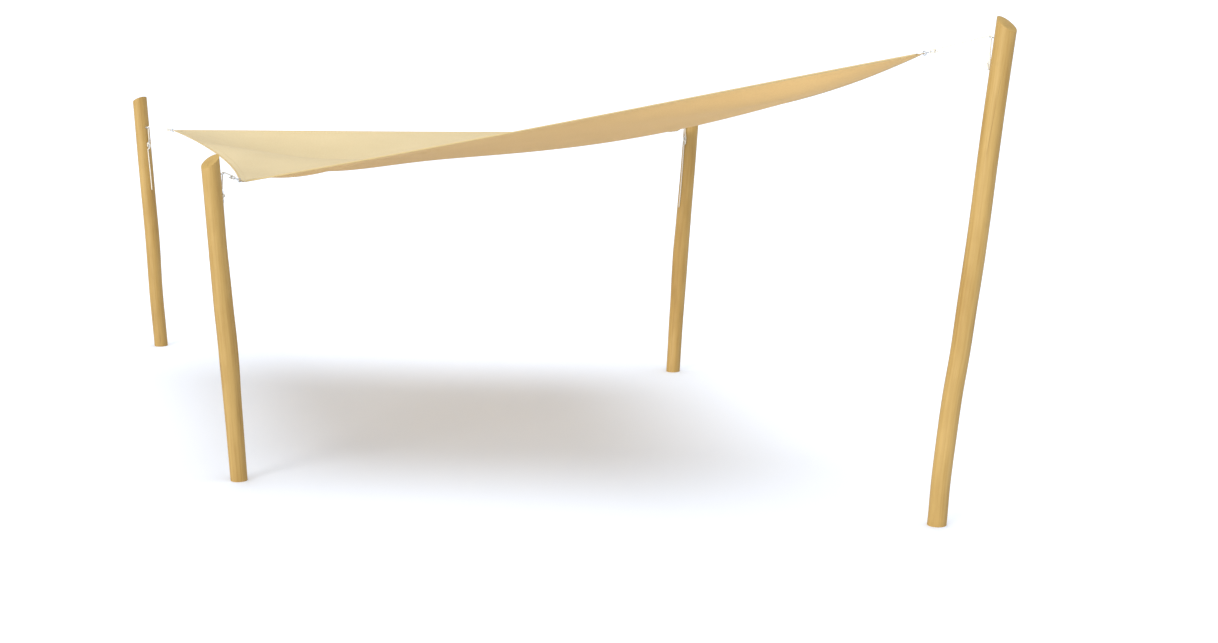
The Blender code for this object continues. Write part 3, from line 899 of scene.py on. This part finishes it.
# Hems: the cloth's edge folded round a cord and sewn down flat. The band's points are given by their
# distance in from the rim and their rise above the layer; the bead's angles are in degrees
hemLook = {"layer": 0.0017, "sides": 140, "probe": 0.01, "proud": 0.0004, "cutGap": 0.004,
           "band": [(0.046, 0.0), (0.0445, 0.0003), (0.030, 0.0003), (0.015, 0.0005), (0.005, 0.0012)],
           "bead": [145 - 29 * index for index in range(11)], "tapeWidth": 0.122, "fold": 0.002, "marks": 60}
rims = {"farNear": 0, "sideTall": 1, "farSide": 0, "nearTall": 1}   # the share that an edge keeps


def runsOnU(edge):
    return edge in ("farNear", "sideTall")


def rimShares(edge, share, offset=0.0):
    # Shares of the cloth at a place on its rim, or an offset in from it
    across = rims[edge] + offset * (1 - 2 * rims[edge])
    return (share, across) if runsOnU(edge) else (across, share)


def rimAlong(edge, share):
    step = hemLook["probe"]
    return (edgePoint(edge, min(share + step, 1)) - edgePoint(edge, max(share - step, 0))).normalized()


def inset(edge, share, distance):
    # Shares of the cloth at a distance in metres in from a point of its rim
    step = hemLook["probe"]
    along = rimAlong(edge, share)
    across = sailPoint(*rimShares(edge, share, step)) - sailPoint(*rimShares(edge, share))
    speed = (across - along * across.dot(along)).length / step
    return rimShares(edge, share, distance / speed)


def hemOut(edge, share):
    across = rimAlong(edge, share).cross(sailNormal(*rimShares(edge, share))).normalized()
    return across if across.dot(edgePoint(edge, share) - Vector((longHalf, 0, 0))) >= 0 else -across


def cutShare(edge, name, atEnd):
    # Share of the edge at which the corner's cut crosses it, found by halving
    corner = cornerFrame(name)
    out = corner.to_3x3().col[0]
    low, high = 0.0, 0.2
    for step in range(30):
        middle = (low + high) / 2
        point = edgePoint(edge, 1 - middle if atEnd else middle)
        if (corner.translation - point).dot(out) < posts[name]["cutBack"] + hemLook["cutGap"]:
            low = middle
        else:
            high = middle
    return 1 - high if atEnd else high


def hemSpan(edge):
    # Where the hem starts and ends, and how far it stands off where two hems would meet
    first, second = edges[edge][:2]
    proud = hemLook["proud"] if runsOnU(edge) else 0.0
    return cutShare(edge, first, False), cutShare(edge, second, True), proud


def bandRing(edge, share, proud):
    normal = sailNormal(*rimShares(edge, share))
    out = hemOut(edge, share)
    band = [(sheetPoint(*inset(edge, share, distance)), normal * (hemLook["layer"] + proud + rise))
            for distance, rise in hemLook["band"]]
    centre = edgePoint(edge, share) + out * (hemRadius + seat)
    ring = [point + lift for point, lift in band]
    for degrees in hemLook["bead"]:
        angle = math.radians(degrees)
        ring.append(centre + out * (hemRadius * math.cos(angle)) + normal * (hemRadius * math.sin(angle)))
    return ring + [point - lift for point, lift in reversed(band)]


def buildHem(edge):
    start, end, proud = hemSpan(edge)
    count = hemLook["sides"]
    rings = [bandRing(edge, start + (end - start) * index / count, proud) for index in range(count + 1)]
    # rings run the way that turns the faces outwards
    if sailNormal(*rimShares(edge, 0.5)).cross(rimAlong(edge, 0.5)).dot(hemOut(edge, 0.5)) > 0:
        rings = [list(reversed(ring)) for ring in rings]
    hem = rollGrid(edge + "FoldedHem", rings, "hem", wrap=hemLook["tapeWidth"])
    paintFolds(hem, edge)
    finish(hem, [edge + "Hem"])
    return hem


def paintFolds(hem, edge):
    # The flat folds are of the sail's own cloth, with the underside copy and its painted shade on their
    # lower faces, and only the bead round the cord is of the darker tape
    for look in ("cloth", "clothUnderPaintedShade"):
        hem.data.materials.append(paints[look])
    shares = [index / hemLook["marks"] for index in range(hemLook["marks"] + 1)]
    marks = [(share, edgePoint(edge, share), sailNormal(*rimShares(edge, share))) for share in shares]
    for face in hem.data.polygons:
        share, point, normal = min(marks, key=lambda mark: (mark[1] - face.center).length_squared)
        if (face.center - point).dot(hemOut(edge, share)) < -hemLook["fold"]:
            face.material_index = 1 if face.normal.dot(normal) > 0 else 2


# Stitches: two rows of lockstitch on both faces of each hem
stitchLook = {"rows": (0.008, 0.040), "pitch": 0.0055, "length": 0.0040, "width": 0.0009, "height": 0.0007,
              "lift": 0.0004, "dip": 0.0004, "endGap": 0.004, "marks": 120}


def stitchForm():
    # One stitch: a short thread that dips at both ends
    half = stitchLook["length"] / 2
    wide = stitchLook["width"] / 2
    points = [(-half, 0, -stitchLook["dip"])]
    for x in (-half / 2, half / 2):
        points += [(x, -wide, 0), (x, 0, stitchLook["height"]), (x, wide, 0)]
    points.append((half, 0, -stitchLook["dip"]))
    faces = [(0, 2, 1), (0, 3, 2), (1, 2, 5, 4), (2, 3, 6, 5), (4, 5, 7), (5, 6, 7), (1, 4, 6, 3), (0, 1, 3),
             (4, 7, 6)]
    return points, faces


def stitchPlaces(edge, start, end, row, count):
    # Middle, direction and normal of each stitch of a row
    marks = stitchLook["marks"]
    spine = []
    for index in range(marks + 1):
        shares = inset(edge, start + (end - start) * index / marks, row)
        spine.append((sheetPoint(*shares), sailNormal(*shares)))
    for index in range(count):
        at = (index + 0.5) / count * marks
        low = min(int(at), marks - 1)
        here, normal = spine[low]
        there = spine[low + 1][0]
        yield here.lerp(there, at - low), (there - here).normalized(), normal


def buildStitches(edge):
    points, faces = stitchForm()
    start, end, proud = hemSpan(edge)
    start += stitchLook["endGap"]
    end -= stitchLook["endGap"]
    count = int((edgePoint(edge, end) - edgePoint(edge, start)).length / stitchLook["pitch"])
    rise = hemLook["layer"] + stitchLook["lift"] + proud
    allPoints = []
    allFaces = []
    for row in stitchLook["rows"]:
        for centre, ahead, normal in stitchPlaces(edge, start, end, row, count):
            side = normal.cross(ahead)
            for face in (1, -1):
                base = len(allPoints)
                for x, y, z in points:
                    allPoints.append(centre + ahead * x + side * y * face + normal * face * (rise + z))
                for corners in faces:
                    allFaces.append(tuple(base + corner for corner in corners))
    mesh = bpy.data.meshes.new(edge + "HemStitches")
    mesh.from_pydata(allPoints, [], allFaces)
    stitches = bpy.data.objects.new(edge + "HemStitches", mesh)
    bpy.context.scene.collection.objects.link(stitches)
    mesh.materials.append(paints["thread"])
    mesh.shade_smooth()
    finish(stitches)
    return stitches


sailPieces = []
for edge in edges:
    sailPieces.append(buildHem(edge))
    sailPieces.append(buildStitches(edge))
print("hems done")


# Logs: waves give each its own uneven girth, which calms down where the rope and the fittings lie
logLook = {"sides": 64, "spacing": 0.035, "relief": 0.0011, "sunk": 0.6, "seed": 21,
           "rim": {"thickness": 0.0025, "depth": 0.00125},
           "waves": 9, "waveShare": 0.25, "calmBelowEye": 1.1, "calmRun": 0.25, "cutCorners": 20,
           "pith": 0.008, "grainStep": 7.3}


def buildPost(name, post, order):
    rng = random.Random(logLook["seed"] + order)
    line = logLine(post)
    centres = smoothRoute([centre for centre, radius in line], logLook["spacing"])
    waves = []
    for index in range(logLook["waves"]):
        waves.append((rng.randint(1, 6), rng.uniform(0.6, 7.0), rng.uniform(0, 6.28), rng.uniform(0.3, 1.0)))
    outward = Vector((*post["outward"], 0))
    rings = []
    for index, centre in enumerate(centres):
        before = centres[max(index - 1, 0)]
        after = centres[min(index + 1, len(centres) - 1)]
        up = (after - before).normalized()
        front = (up * outward.dot(up) - outward).normalized()
        radius = logStation(line, centre.z)[1] - logLook["relief"] * logLook["sunk"]
        calm = min(1.0, max(0.0, (centre.z - post["eye"] + logLook["calmBelowEye"]) / logLook["calmRun"]))
        sizes = []
        for step in range(logLook["sides"]):
            angle = 2 * math.pi * step / logLook["sides"]
            lump = sum(size * math.sin(count * angle + rate * centre.z + start)
                       for count, rate, start, size in waves) * logLook["waveShare"]
            damp = 1.0 - max(0.0, math.cos(angle)) * calm
            sizes.append(radius + logLook["relief"] * lump * damp)
        rings.append(circle(centre, front, up.cross(front), sizes))
    log = rollGrid(name + "Log", rings, "timber")
    log.data.materials.append(paints["endGrain"])
    # level foot, slanting top
    top = Vector((*post["foot"], 0)) + Vector((0, 0, post["height"]))
    top += outward * (math.tan(math.radians(post["lean"])) * post["height"])
    cut = math.radians(post["cut"])
    slant = outward * math.sin(cut) + Vector((0, 0, math.cos(cut)))
    for point, normal in ((Vector((0, 0, 0)), Vector((0, 0, -1))), (top, slant)):
        edit(log, bpy.ops.mesh.bisect, plane_co=point, plane_no=normal, use_fill=True, clear_outer=True)
    cuts = [face for face in log.data.polygons if len(face.vertices) > logLook["cutCorners"]]
    for face in cuts:
        face.material_index = 1
    cap = max(cuts, key=lambda face: face.center.z).index
    # the sawn edge is eased a little
    edit(log, bpy.ops.mesh.inset, lambda face: face.index == cap, **logLook["rim"])
    mapLog(log, top, slant, outward, order, rng)
    smooth(log, 40)
    finish(log, [name + "Post"])


def mapLog(log, top, slant, outward, order, rng):
    # The cut faces are mapped flat, in metres from the pith, and each log shows its own stretch of grain
    mesh = log.data
    layer = mesh.uv_layers["flat"]
    reach = logLook["pith"]
    pith = Vector((rng.uniform(-reach, reach), rng.uniform(-reach, reach)))
    for face in mesh.polygons:
        if face.material_index == 0:
            for loop in face.loop_indices:
                layer.data[loop].uv.y += logLook["grainStep"] * order
            continue
        onTop = face.center.z > top.z / 2
        middle = top if onTop else sum((mesh.vertices[vert].co for vert in face.vertices),
                                       Vector()) / len(face.vertices)
        normal = slant if onTop else Vector((0, 0, 1))
        first = (normal * outward.dot(normal) - outward).normalized()
        second = normal.cross(first)
        for loop in face.loop_indices:
            offset = mesh.vertices[mesh.loops[loop].vertex_index].co - middle
            layer.data[loop].uv = Vector((offset.dot(first), offset.dot(second))) + pith


for order, (name, post) in enumerate(posts.items()):
    buildPost(name, post, order)
print("logs done")


# Eye bolts with their collars, screwed into the logs, in millimetres. The collar is a profile of
# places out of the log and radii
boltLook = {"sides": 24, "ringSides": 48, "depth": 90, "tip": 3.5, "threadPitch": 4, "threadDepth": 1.2,
            "turns": 15, "plainStart": 2,
            "collar": [(0.3, 6.0), (0.4, 10.4), (1.0, 11.0), (2.7, 11.0), (3.5, 10.0), (4.4, 8.5),
                       (8.0, 6.4), (12.0, 6.0), (15.5, 5.2)]}


def buildEyeBolt(name, post):
    eye = wireRing(name + "Eye", eyeRingRadius, eyeWire, boltLook["ringSides"], (0, eyeStandOff, 0))
    placeMesh(eye)
    wide = boltRadius * 1000
    y = -boltLook["depth"]
    profile = [(y, boltLook["tip"])]
    for turn in range(boltLook["turns"]):
        y += boltLook["threadPitch"]
        profile += [(y - boltLook["threadPitch"] / 2, wide), (y, wide - boltLook["threadDepth"])]
    profile += [(y + boltLook["plainStart"], wide)] + boltLook["collar"]
    combine(eye, turned(name + "Shank", profile, boltLook["sides"]), "UNION")
    placeMesh(eye, logFrame(post, post["eye"]))
    smooth(eye, 40)
    finish(eye, [name + "EyeBolt"])


# Horn cleats, screwed on below the eyes. The horns' line is out and up, their tips are steps on from
# the end and radii, and legs and screws are profiles of places out and radii, all in millimetres
cleatLook = {"horn": [(26.0, -50), (24.4, -38), (22.6, -20), (22.2, 0), (22.6, 20), (24.4, 38), (26.0, 50)],
             "hornSides": 16, "spacing": 0.003, "thick": 5.0, "taper": 2.0, "taperPower": 1.6,
             "tipSlope": 0.13, "tips": [(1.4, 2.4), (2.2, 1.3)], "plate": (0.020, 0.004, 0.056),
             "round": {"offset": 0.009, "segments": 6}, "ease": {"thickness": 0.0008, "depth": 0.0003},
             "sides": 20, "legHeight": 0.014,
             "leg": [(3.0, 7.2), (4.5, 6.9), (6.2, 5.7), (9.0, 5.0), (16.0, 4.7), (19.0, 5.0), (22.5, 5.2)],
             "screwHeight": 0.0225, "screw": [(3.6, 3.4), (4.7, 3.3), (5.0, 2.4), (5.1, 1.2)],
             "slot": (0.0038, 0.0010, 0.0008), "slotOut": 0.0050, "slotTurns": (25, 115)}


def hornLine():
    # The horns' route and radii, thinner outwards, with their tips rounded off
    spine = smoothRoute([Vector((0, out, up)) / 1000 for out, up in cleatLook["horn"]], cleatLook["spacing"])
    half = cleatLook["horn"][-1][1] / 1000
    radii = []
    for point in spine:
        share = abs(point.z) / half
        radii.append(cleatLook["thick"] - cleatLook["taper"] * share ** cleatLook["taperPower"])
    for way in (-1, 1):
        spine.reverse()
        radii.reverse()
        tip = spine[-1]
        ahead = Vector((0, cleatLook["tipSlope"], way)).normalized()
        for step, radius in cleatLook["tips"]:
            spine.append(tip + ahead * (step / 1000))
            radii.append(radius)
    return spine, [radius / 1000 for radius in radii]


def cleatPlate(name):
    thick = cleatLook["plate"][1]
    plate = box(name + "Plate", "steel", cleatLook["plate"], (0, thick / 2 + gap, 0))
    edit(plate, bpy.ops.mesh.bevel, lambda edge: abs(edge.verts[0].co.y - edge.verts[1].co.y) > thick / 4,
         "edges", **cleatLook["round"])
    edit(plate, bpy.ops.mesh.inset, lambda face: face.normal.y > 0.9, **cleatLook["ease"])
    return plate


def crossScrew(name, height):
    # Countersunk screw with a cross slot, set in the plate
    screw = turned(name + "Screw", cleatLook["screw"], cleatLook["sides"])
    placeMesh(screw, Matrix.Translation((0, 0, height)))
    for turn in cleatLook["slotTurns"]:
        slot = box(name + "Slot", "steel", cleatLook["slot"])
        spin = Matrix.Rotation(math.radians(turn), 4, "Y")
        placeMesh(slot, Matrix.Translation((0, cleatLook["slotOut"], height)) @ spin)
        combine(screw, slot, "DIFFERENCE")
    return screw


def buildCleat(name, post):
    horns = rollGrid(name + "HornCleat", ringsAlong(*hornLine(), cleatLook["hornSides"]), "steel")
    pieces = [cleatPlate(name)]
    for side in (-1, 1):
        leg = turned(name + "Leg", cleatLook["leg"], cleatLook["sides"])
        placeMesh(leg, Matrix.Translation((0, 0, cleatLook["legHeight"] * side)))
        pieces += [leg, crossScrew(name, cleatLook["screwHeight"] * side)]
    joinInto(horns, pieces)
    placeMesh(horns, logFrame(post, post["eye"] - cleatDrop))
    smooth(horns, 35)
    finish(horns, [name + "Cleat"])


# Corner chain: round ring with its weld, and the link with its threaded sleeve
chainLook = {"ringSides": 48, "linkSides": 40, "weldSwell": 0.10, "weldSpread": 0.10, "sleeve": 0.0056,
             "sleeveLength": 0.013, "sleeveSides": 6, "ease": {"thickness": 0.0008, "depth": 0.0005}}


def buildRing(name, post):
    ring = wireRing(name + "RoundRing", ringRadius, ringWire, chainLook["ringSides"])
    # a low bead where the wire is welded shut
    for vert in ring.data.vertices:
        turn = math.atan2(vert.co.y, vert.co.x) - math.pi / 2
        middle = Vector((vert.co.x, vert.co.y, 0)).normalized() * ringRadius
        swell = 1 + chainLook["weldSwell"] * math.exp(-(turn / chainLook["weldSpread"]) ** 2)
        vert.co = middle + (vert.co - middle) * swell
    upright = Matrix.Translation((ringCentre(), 0, 0)) @ Matrix.Rotation(math.pi / 2, 4, "X")
    placeMesh(ring, pullFrame(name, post) @ upright)
    smooth(ring, 60)
    finish(ring, [name + "Ring"])


def buildHook(name, post):
    link = wireRing(name + "Link", hookEndRadius, hookWire, chainLook["linkSides"])
    edit(link, bpy.ops.transform.translate, lambda vert: vert.co.x > 0.0001, "verts",
         value=(hookLength, 0, 0))
    # threaded sleeve that closes the link, on its upper side
    clearPick()
    bpy.ops.mesh.primitive_cylinder_add(vertices=chainLook["sleeveSides"], radius=chainLook["sleeve"],
                                        depth=chainLook["sleeveLength"], rotation=(0, math.pi / 2, 0),
                                        location=(hookLength / 2, hookEndRadius, 0))
    sleeve = named(name + "Sleeve", "steel")
    edit(sleeve, bpy.ops.mesh.inset, lambda face: abs(face.normal.z) > 0.9, **chainLook["ease"])
    placeMesh(sleeve)
    joinInto(link, [sleeve])
    placeMesh(link, pullFrame(name, post) @ Matrix.Translation((hookCentres()[0], 0, 0)))
    smooth(link, 40)
    finish(link, [name + "Hook"])


# Webbing tabs with a rolled eyelet, whose profile is in millimetres: places up and radii
tabLook = {"round": {"offset": 0.009, "segments": 5}, "ease": {"width": 0.0009, "segments": 2},
           "holeSides": 32, "holeDepth": 0.02,
           "eyelet": [(-3.2, 12.5), (-3.9, 12.2), (-4.3, 10.5), (-3.9, 8.8), (-2.6, 8.0), (2.6, 8.0),
                      (3.9, 8.8), (4.3, 10.5), (3.9, 12.2), (3.2, 12.5), (3.0, 8.5), (-3.0, 8.5)]}


def tabStart(name, post, place):
    # Where the tab starts on its own X, so that all its corners clear the cloth's cut
    cloth = cornerFrame(name).to_3x3().col[0]
    out, across, up = place.to_3x3().col
    ends = [(across * side * tabWidth + up * rise * tabThickness) / 2
            for side in (-1, 1) for rise in (-1, 1)]
    return max((gap - point.dot(cloth)) / out.dot(cloth) for point in ends) - post["cutBack"]


def buildTab(name, post):
    place = pullFrame(name, post)
    start = tabStart(name, post, place)
    tab = box(name + "WebbingTab", "webbing", (tabLip - start, tabWidth, tabThickness),
              ((start + tabLip) / 2, 0, 0))
    tab.data.uv_layers[0].name = "flat"
    edit(tab, bpy.ops.mesh.bevel, lambda edge: min(vert.co.x for vert in edge.verts) > tabLip / 2
         and abs(edge.verts[0].co.z - edge.verts[1].co.z) > tabThickness / 2, "edges",
         **tabLook["round"])
    applyModifier(tab, "BEVEL", **tabLook["ease"], limit_method="ANGLE")
    clearPick()
    bpy.ops.mesh.primitive_cylinder_add(vertices=tabLook["holeSides"], radius=tabHole,
                                        depth=tabLook["holeDepth"])
    combine(tab, bpy.context.object, "DIFFERENCE")
    flatMap(tab)
    placeMesh(tab, place)
    smooth(tab, 30)
    eyelet = turned(name + "Eyelet", tabLook["eyelet"], tabLook["holeSides"], closedLong=True)
    placeMesh(eyelet, place @ Matrix.Rotation(math.pi / 2, 4, "X"))
    edit(eyelet, bpy.ops.mesh.normals_make_consistent, inside=False)
    finish(eyelet)
    finish(tab, [name + "Tab"])
    return [tab, eyelet]


def flatMap(item):
    # A map in metres, straight down on the piece's own X and Y
    layer = item.data.uv_layers.get("flat") or item.data.uv_layers.new(name="flat")
    for loop in item.data.loops:
        point = item.data.vertices[loop.vertex_index].co
        layer.data[loop.index].uv = (point.x, point.y + point.z)


# Straps: the tab's two tails, sewn to the upper and lower face of the cloth
strapLook = {"length": 0.13, "thick": 0.0022, "lap": 0.001, "narrow": 0.94, "rise": 0.0012, "steps": 14,
             "ease": {"width": 0.0005, "segments": 1}}


def clothAt(place):
    # Shares of the cloth above or below a point, by a few steps towards it
    u, v = 0.5, 0.5
    probe = 0.001
    for step in range(12):
        here = sailPoint(u, v)
        alongU = (sailPoint(u + probe, v) - here) / probe
        alongV = (sailPoint(u, v + probe) - here) / probe
        away = place - here
        det = alongU.x * alongV.y - alongU.y * alongV.x
        u += (away.x * alongV.y - away.y * alongV.x) / det
        v += (alongU.x * away.y - alongU.y * away.x) / det
    return u, v


def buildStrap(name, post, face, side, look):
    corner = cornerFrame(name)
    rise = (hemLook["layer"] + strapLook["rise"]) * face
    rows = []
    for index in range(strapLook["steps"] + 1):
        back = post["cutBack"] - strapLook["lap"] + strapLook["length"] * index / strapLook["steps"]
        row = []
        for across in (-1, -0.5, 0, 0.5, 1):
            u, v = clothAt(corner @ Vector((-back, across * tabWidth / 2 * strapLook["narrow"], 0)))
            row.append(sheetPoint(u, v) + sailNormal(u, v) * rise)
        rows.append(row if face > 0 else list(reversed(row)))
    strap = rollGrid(name + side, rows, look, closedRound=False, wrap=tabWidth)
    applyModifier(strap, "SOLIDIFY", thickness=strapLook["thick"], offset=0)
    applyModifier(strap, "BEVEL", **strapLook["ease"], limit_method="ANGLE")
    smooth(strap, 40)
    finish(strap)
    return strap


# Halyards: from the hook through the eye and down to the cleat, lashed behind the hook
halyardLook = {"spare": 0.060, "spareShare": 0.4, "hookSteps": 8, "runStep": 0.08, "eyeStep": 24,
               "cleatSpacing": 0.009, "twine": 0.0008, "twineSides": 8, "twineOff": 0.0006, "turns": 7,
               "turnSteps": 24, "twinePitch": 0.0016, "twineStart": 0.0056, "twineShare": 0.62}


def halyardRoute(post, place, span, hookBar, spare):
    # The rope's points, from its short leg at the hook to its last turn round the cleat
    turnHook = hookWire + ropeRadius + seat
    turnEye = eyeWire + ropeRadius + seat
    run = span - hookBar
    route = [Vector((hookBar + spare, 0, -turnHook)), Vector((hookBar + spare * 0.5, 0, -turnHook))]
    for step in range(halyardLook["hookSteps"] + 1):
        angle = math.radians(270 - step * 180 / halyardLook["hookSteps"])
        route.append(Vector((hookBar + turnHook * math.cos(angle), 0, turnHook * math.sin(angle))))
    steps = max(2, round(run / halyardLook["runStep"]))
    for step in range(1, steps):
        share = step / steps
        route.append(Vector((hookBar + run * share, 0, turnHook + (turnEye - turnHook) * share)))
    down = -((place.inverted() @ logFrame(post, post["eye"])).to_3x3().col[2])
    start = math.degrees(math.pi / 2 + math.asin((turnEye - turnHook) / run))
    end = math.degrees(math.atan2(down.z, down.x)) + 90
    steps = max(3, math.ceil(abs(start - end) / halyardLook["eyeStep"]))
    for step in range(steps + 1):
        angle = math.radians(start + (end - start) * step / steps)
        route.append(Vector((span + turnEye * math.cos(angle), 0, turnEye * math.sin(angle))))
    world = [place @ point for point in route]
    cleat = logFrame(post, post["eye"] - cleatDrop)
    turns = [cleat @ (Vector(point) / 1000) for point in cleatTurns]
    world.append(world[-1].lerp(turns[0], 0.5))
    return world + smoothRoute(turns, halyardLook["cleatSpacing"])


def buildHalyard(name, post):
    place = pullFrame(name, post)
    span = (eyeCentre(post) - place.translation).length
    hookBar = hookCentres()[1] + hookEndRadius
    spare = min(halyardLook["spare"], (span - hookBar) * halyardLook["spareShare"])
    fine = smoothRoute(halyardRoute(post, place, span, hookBar, spare), cordLook["spacing"])
    rope = rollGrid(name + "HalyardRope", ringsAlong(fine, ropeRadius, cordLook["sides"]), "rope")
    finish(rope, [name + "Halyard"])
    # twine binds the rope's short leg to its standing part
    wide = ropeRadius + halyardLook["twineOff"]
    reach = hookWire + ropeRadius + seat
    coil = []
    steps = halyardLook["turnSteps"]
    start = hookBar + spare * halyardLook["twineShare"] - halyardLook["twineStart"]
    for index in range(halyardLook["turns"] * steps + 1):
        angle = 2 * math.pi * index / steps
        height = math.sin(angle)
        x = start + halyardLook["twinePitch"] * index / steps
        z = (reach if height > 0 else -reach) + wide * height
        coil.append(place @ Vector((x, wide * math.cos(angle), z)))
    rings = ringsAlong(coil, halyardLook["twine"], halyardLook["twineSides"])
    twine = rollGrid(name + "Lashing", rings, "twine")
    finish(twine)


for name, post in posts.items():
    buildEyeBolt(name, post)
    buildCleat(name, post)
    buildRing(name, post)
    buildHook(name, post)
    sailPieces += buildTab(name, post)
    sailPieces.append(buildStrap(name, post, 1, "UpperStrap", "cloth"))
    # the lower strap takes the underside copy of the cloth, which carries painted shade
    sailPieces.append(buildStrap(name, post, -1, "LowerStrap", "clothUnderPaintedShade"))
    buildHalyard(name, post)
print("fittings and ropes done")
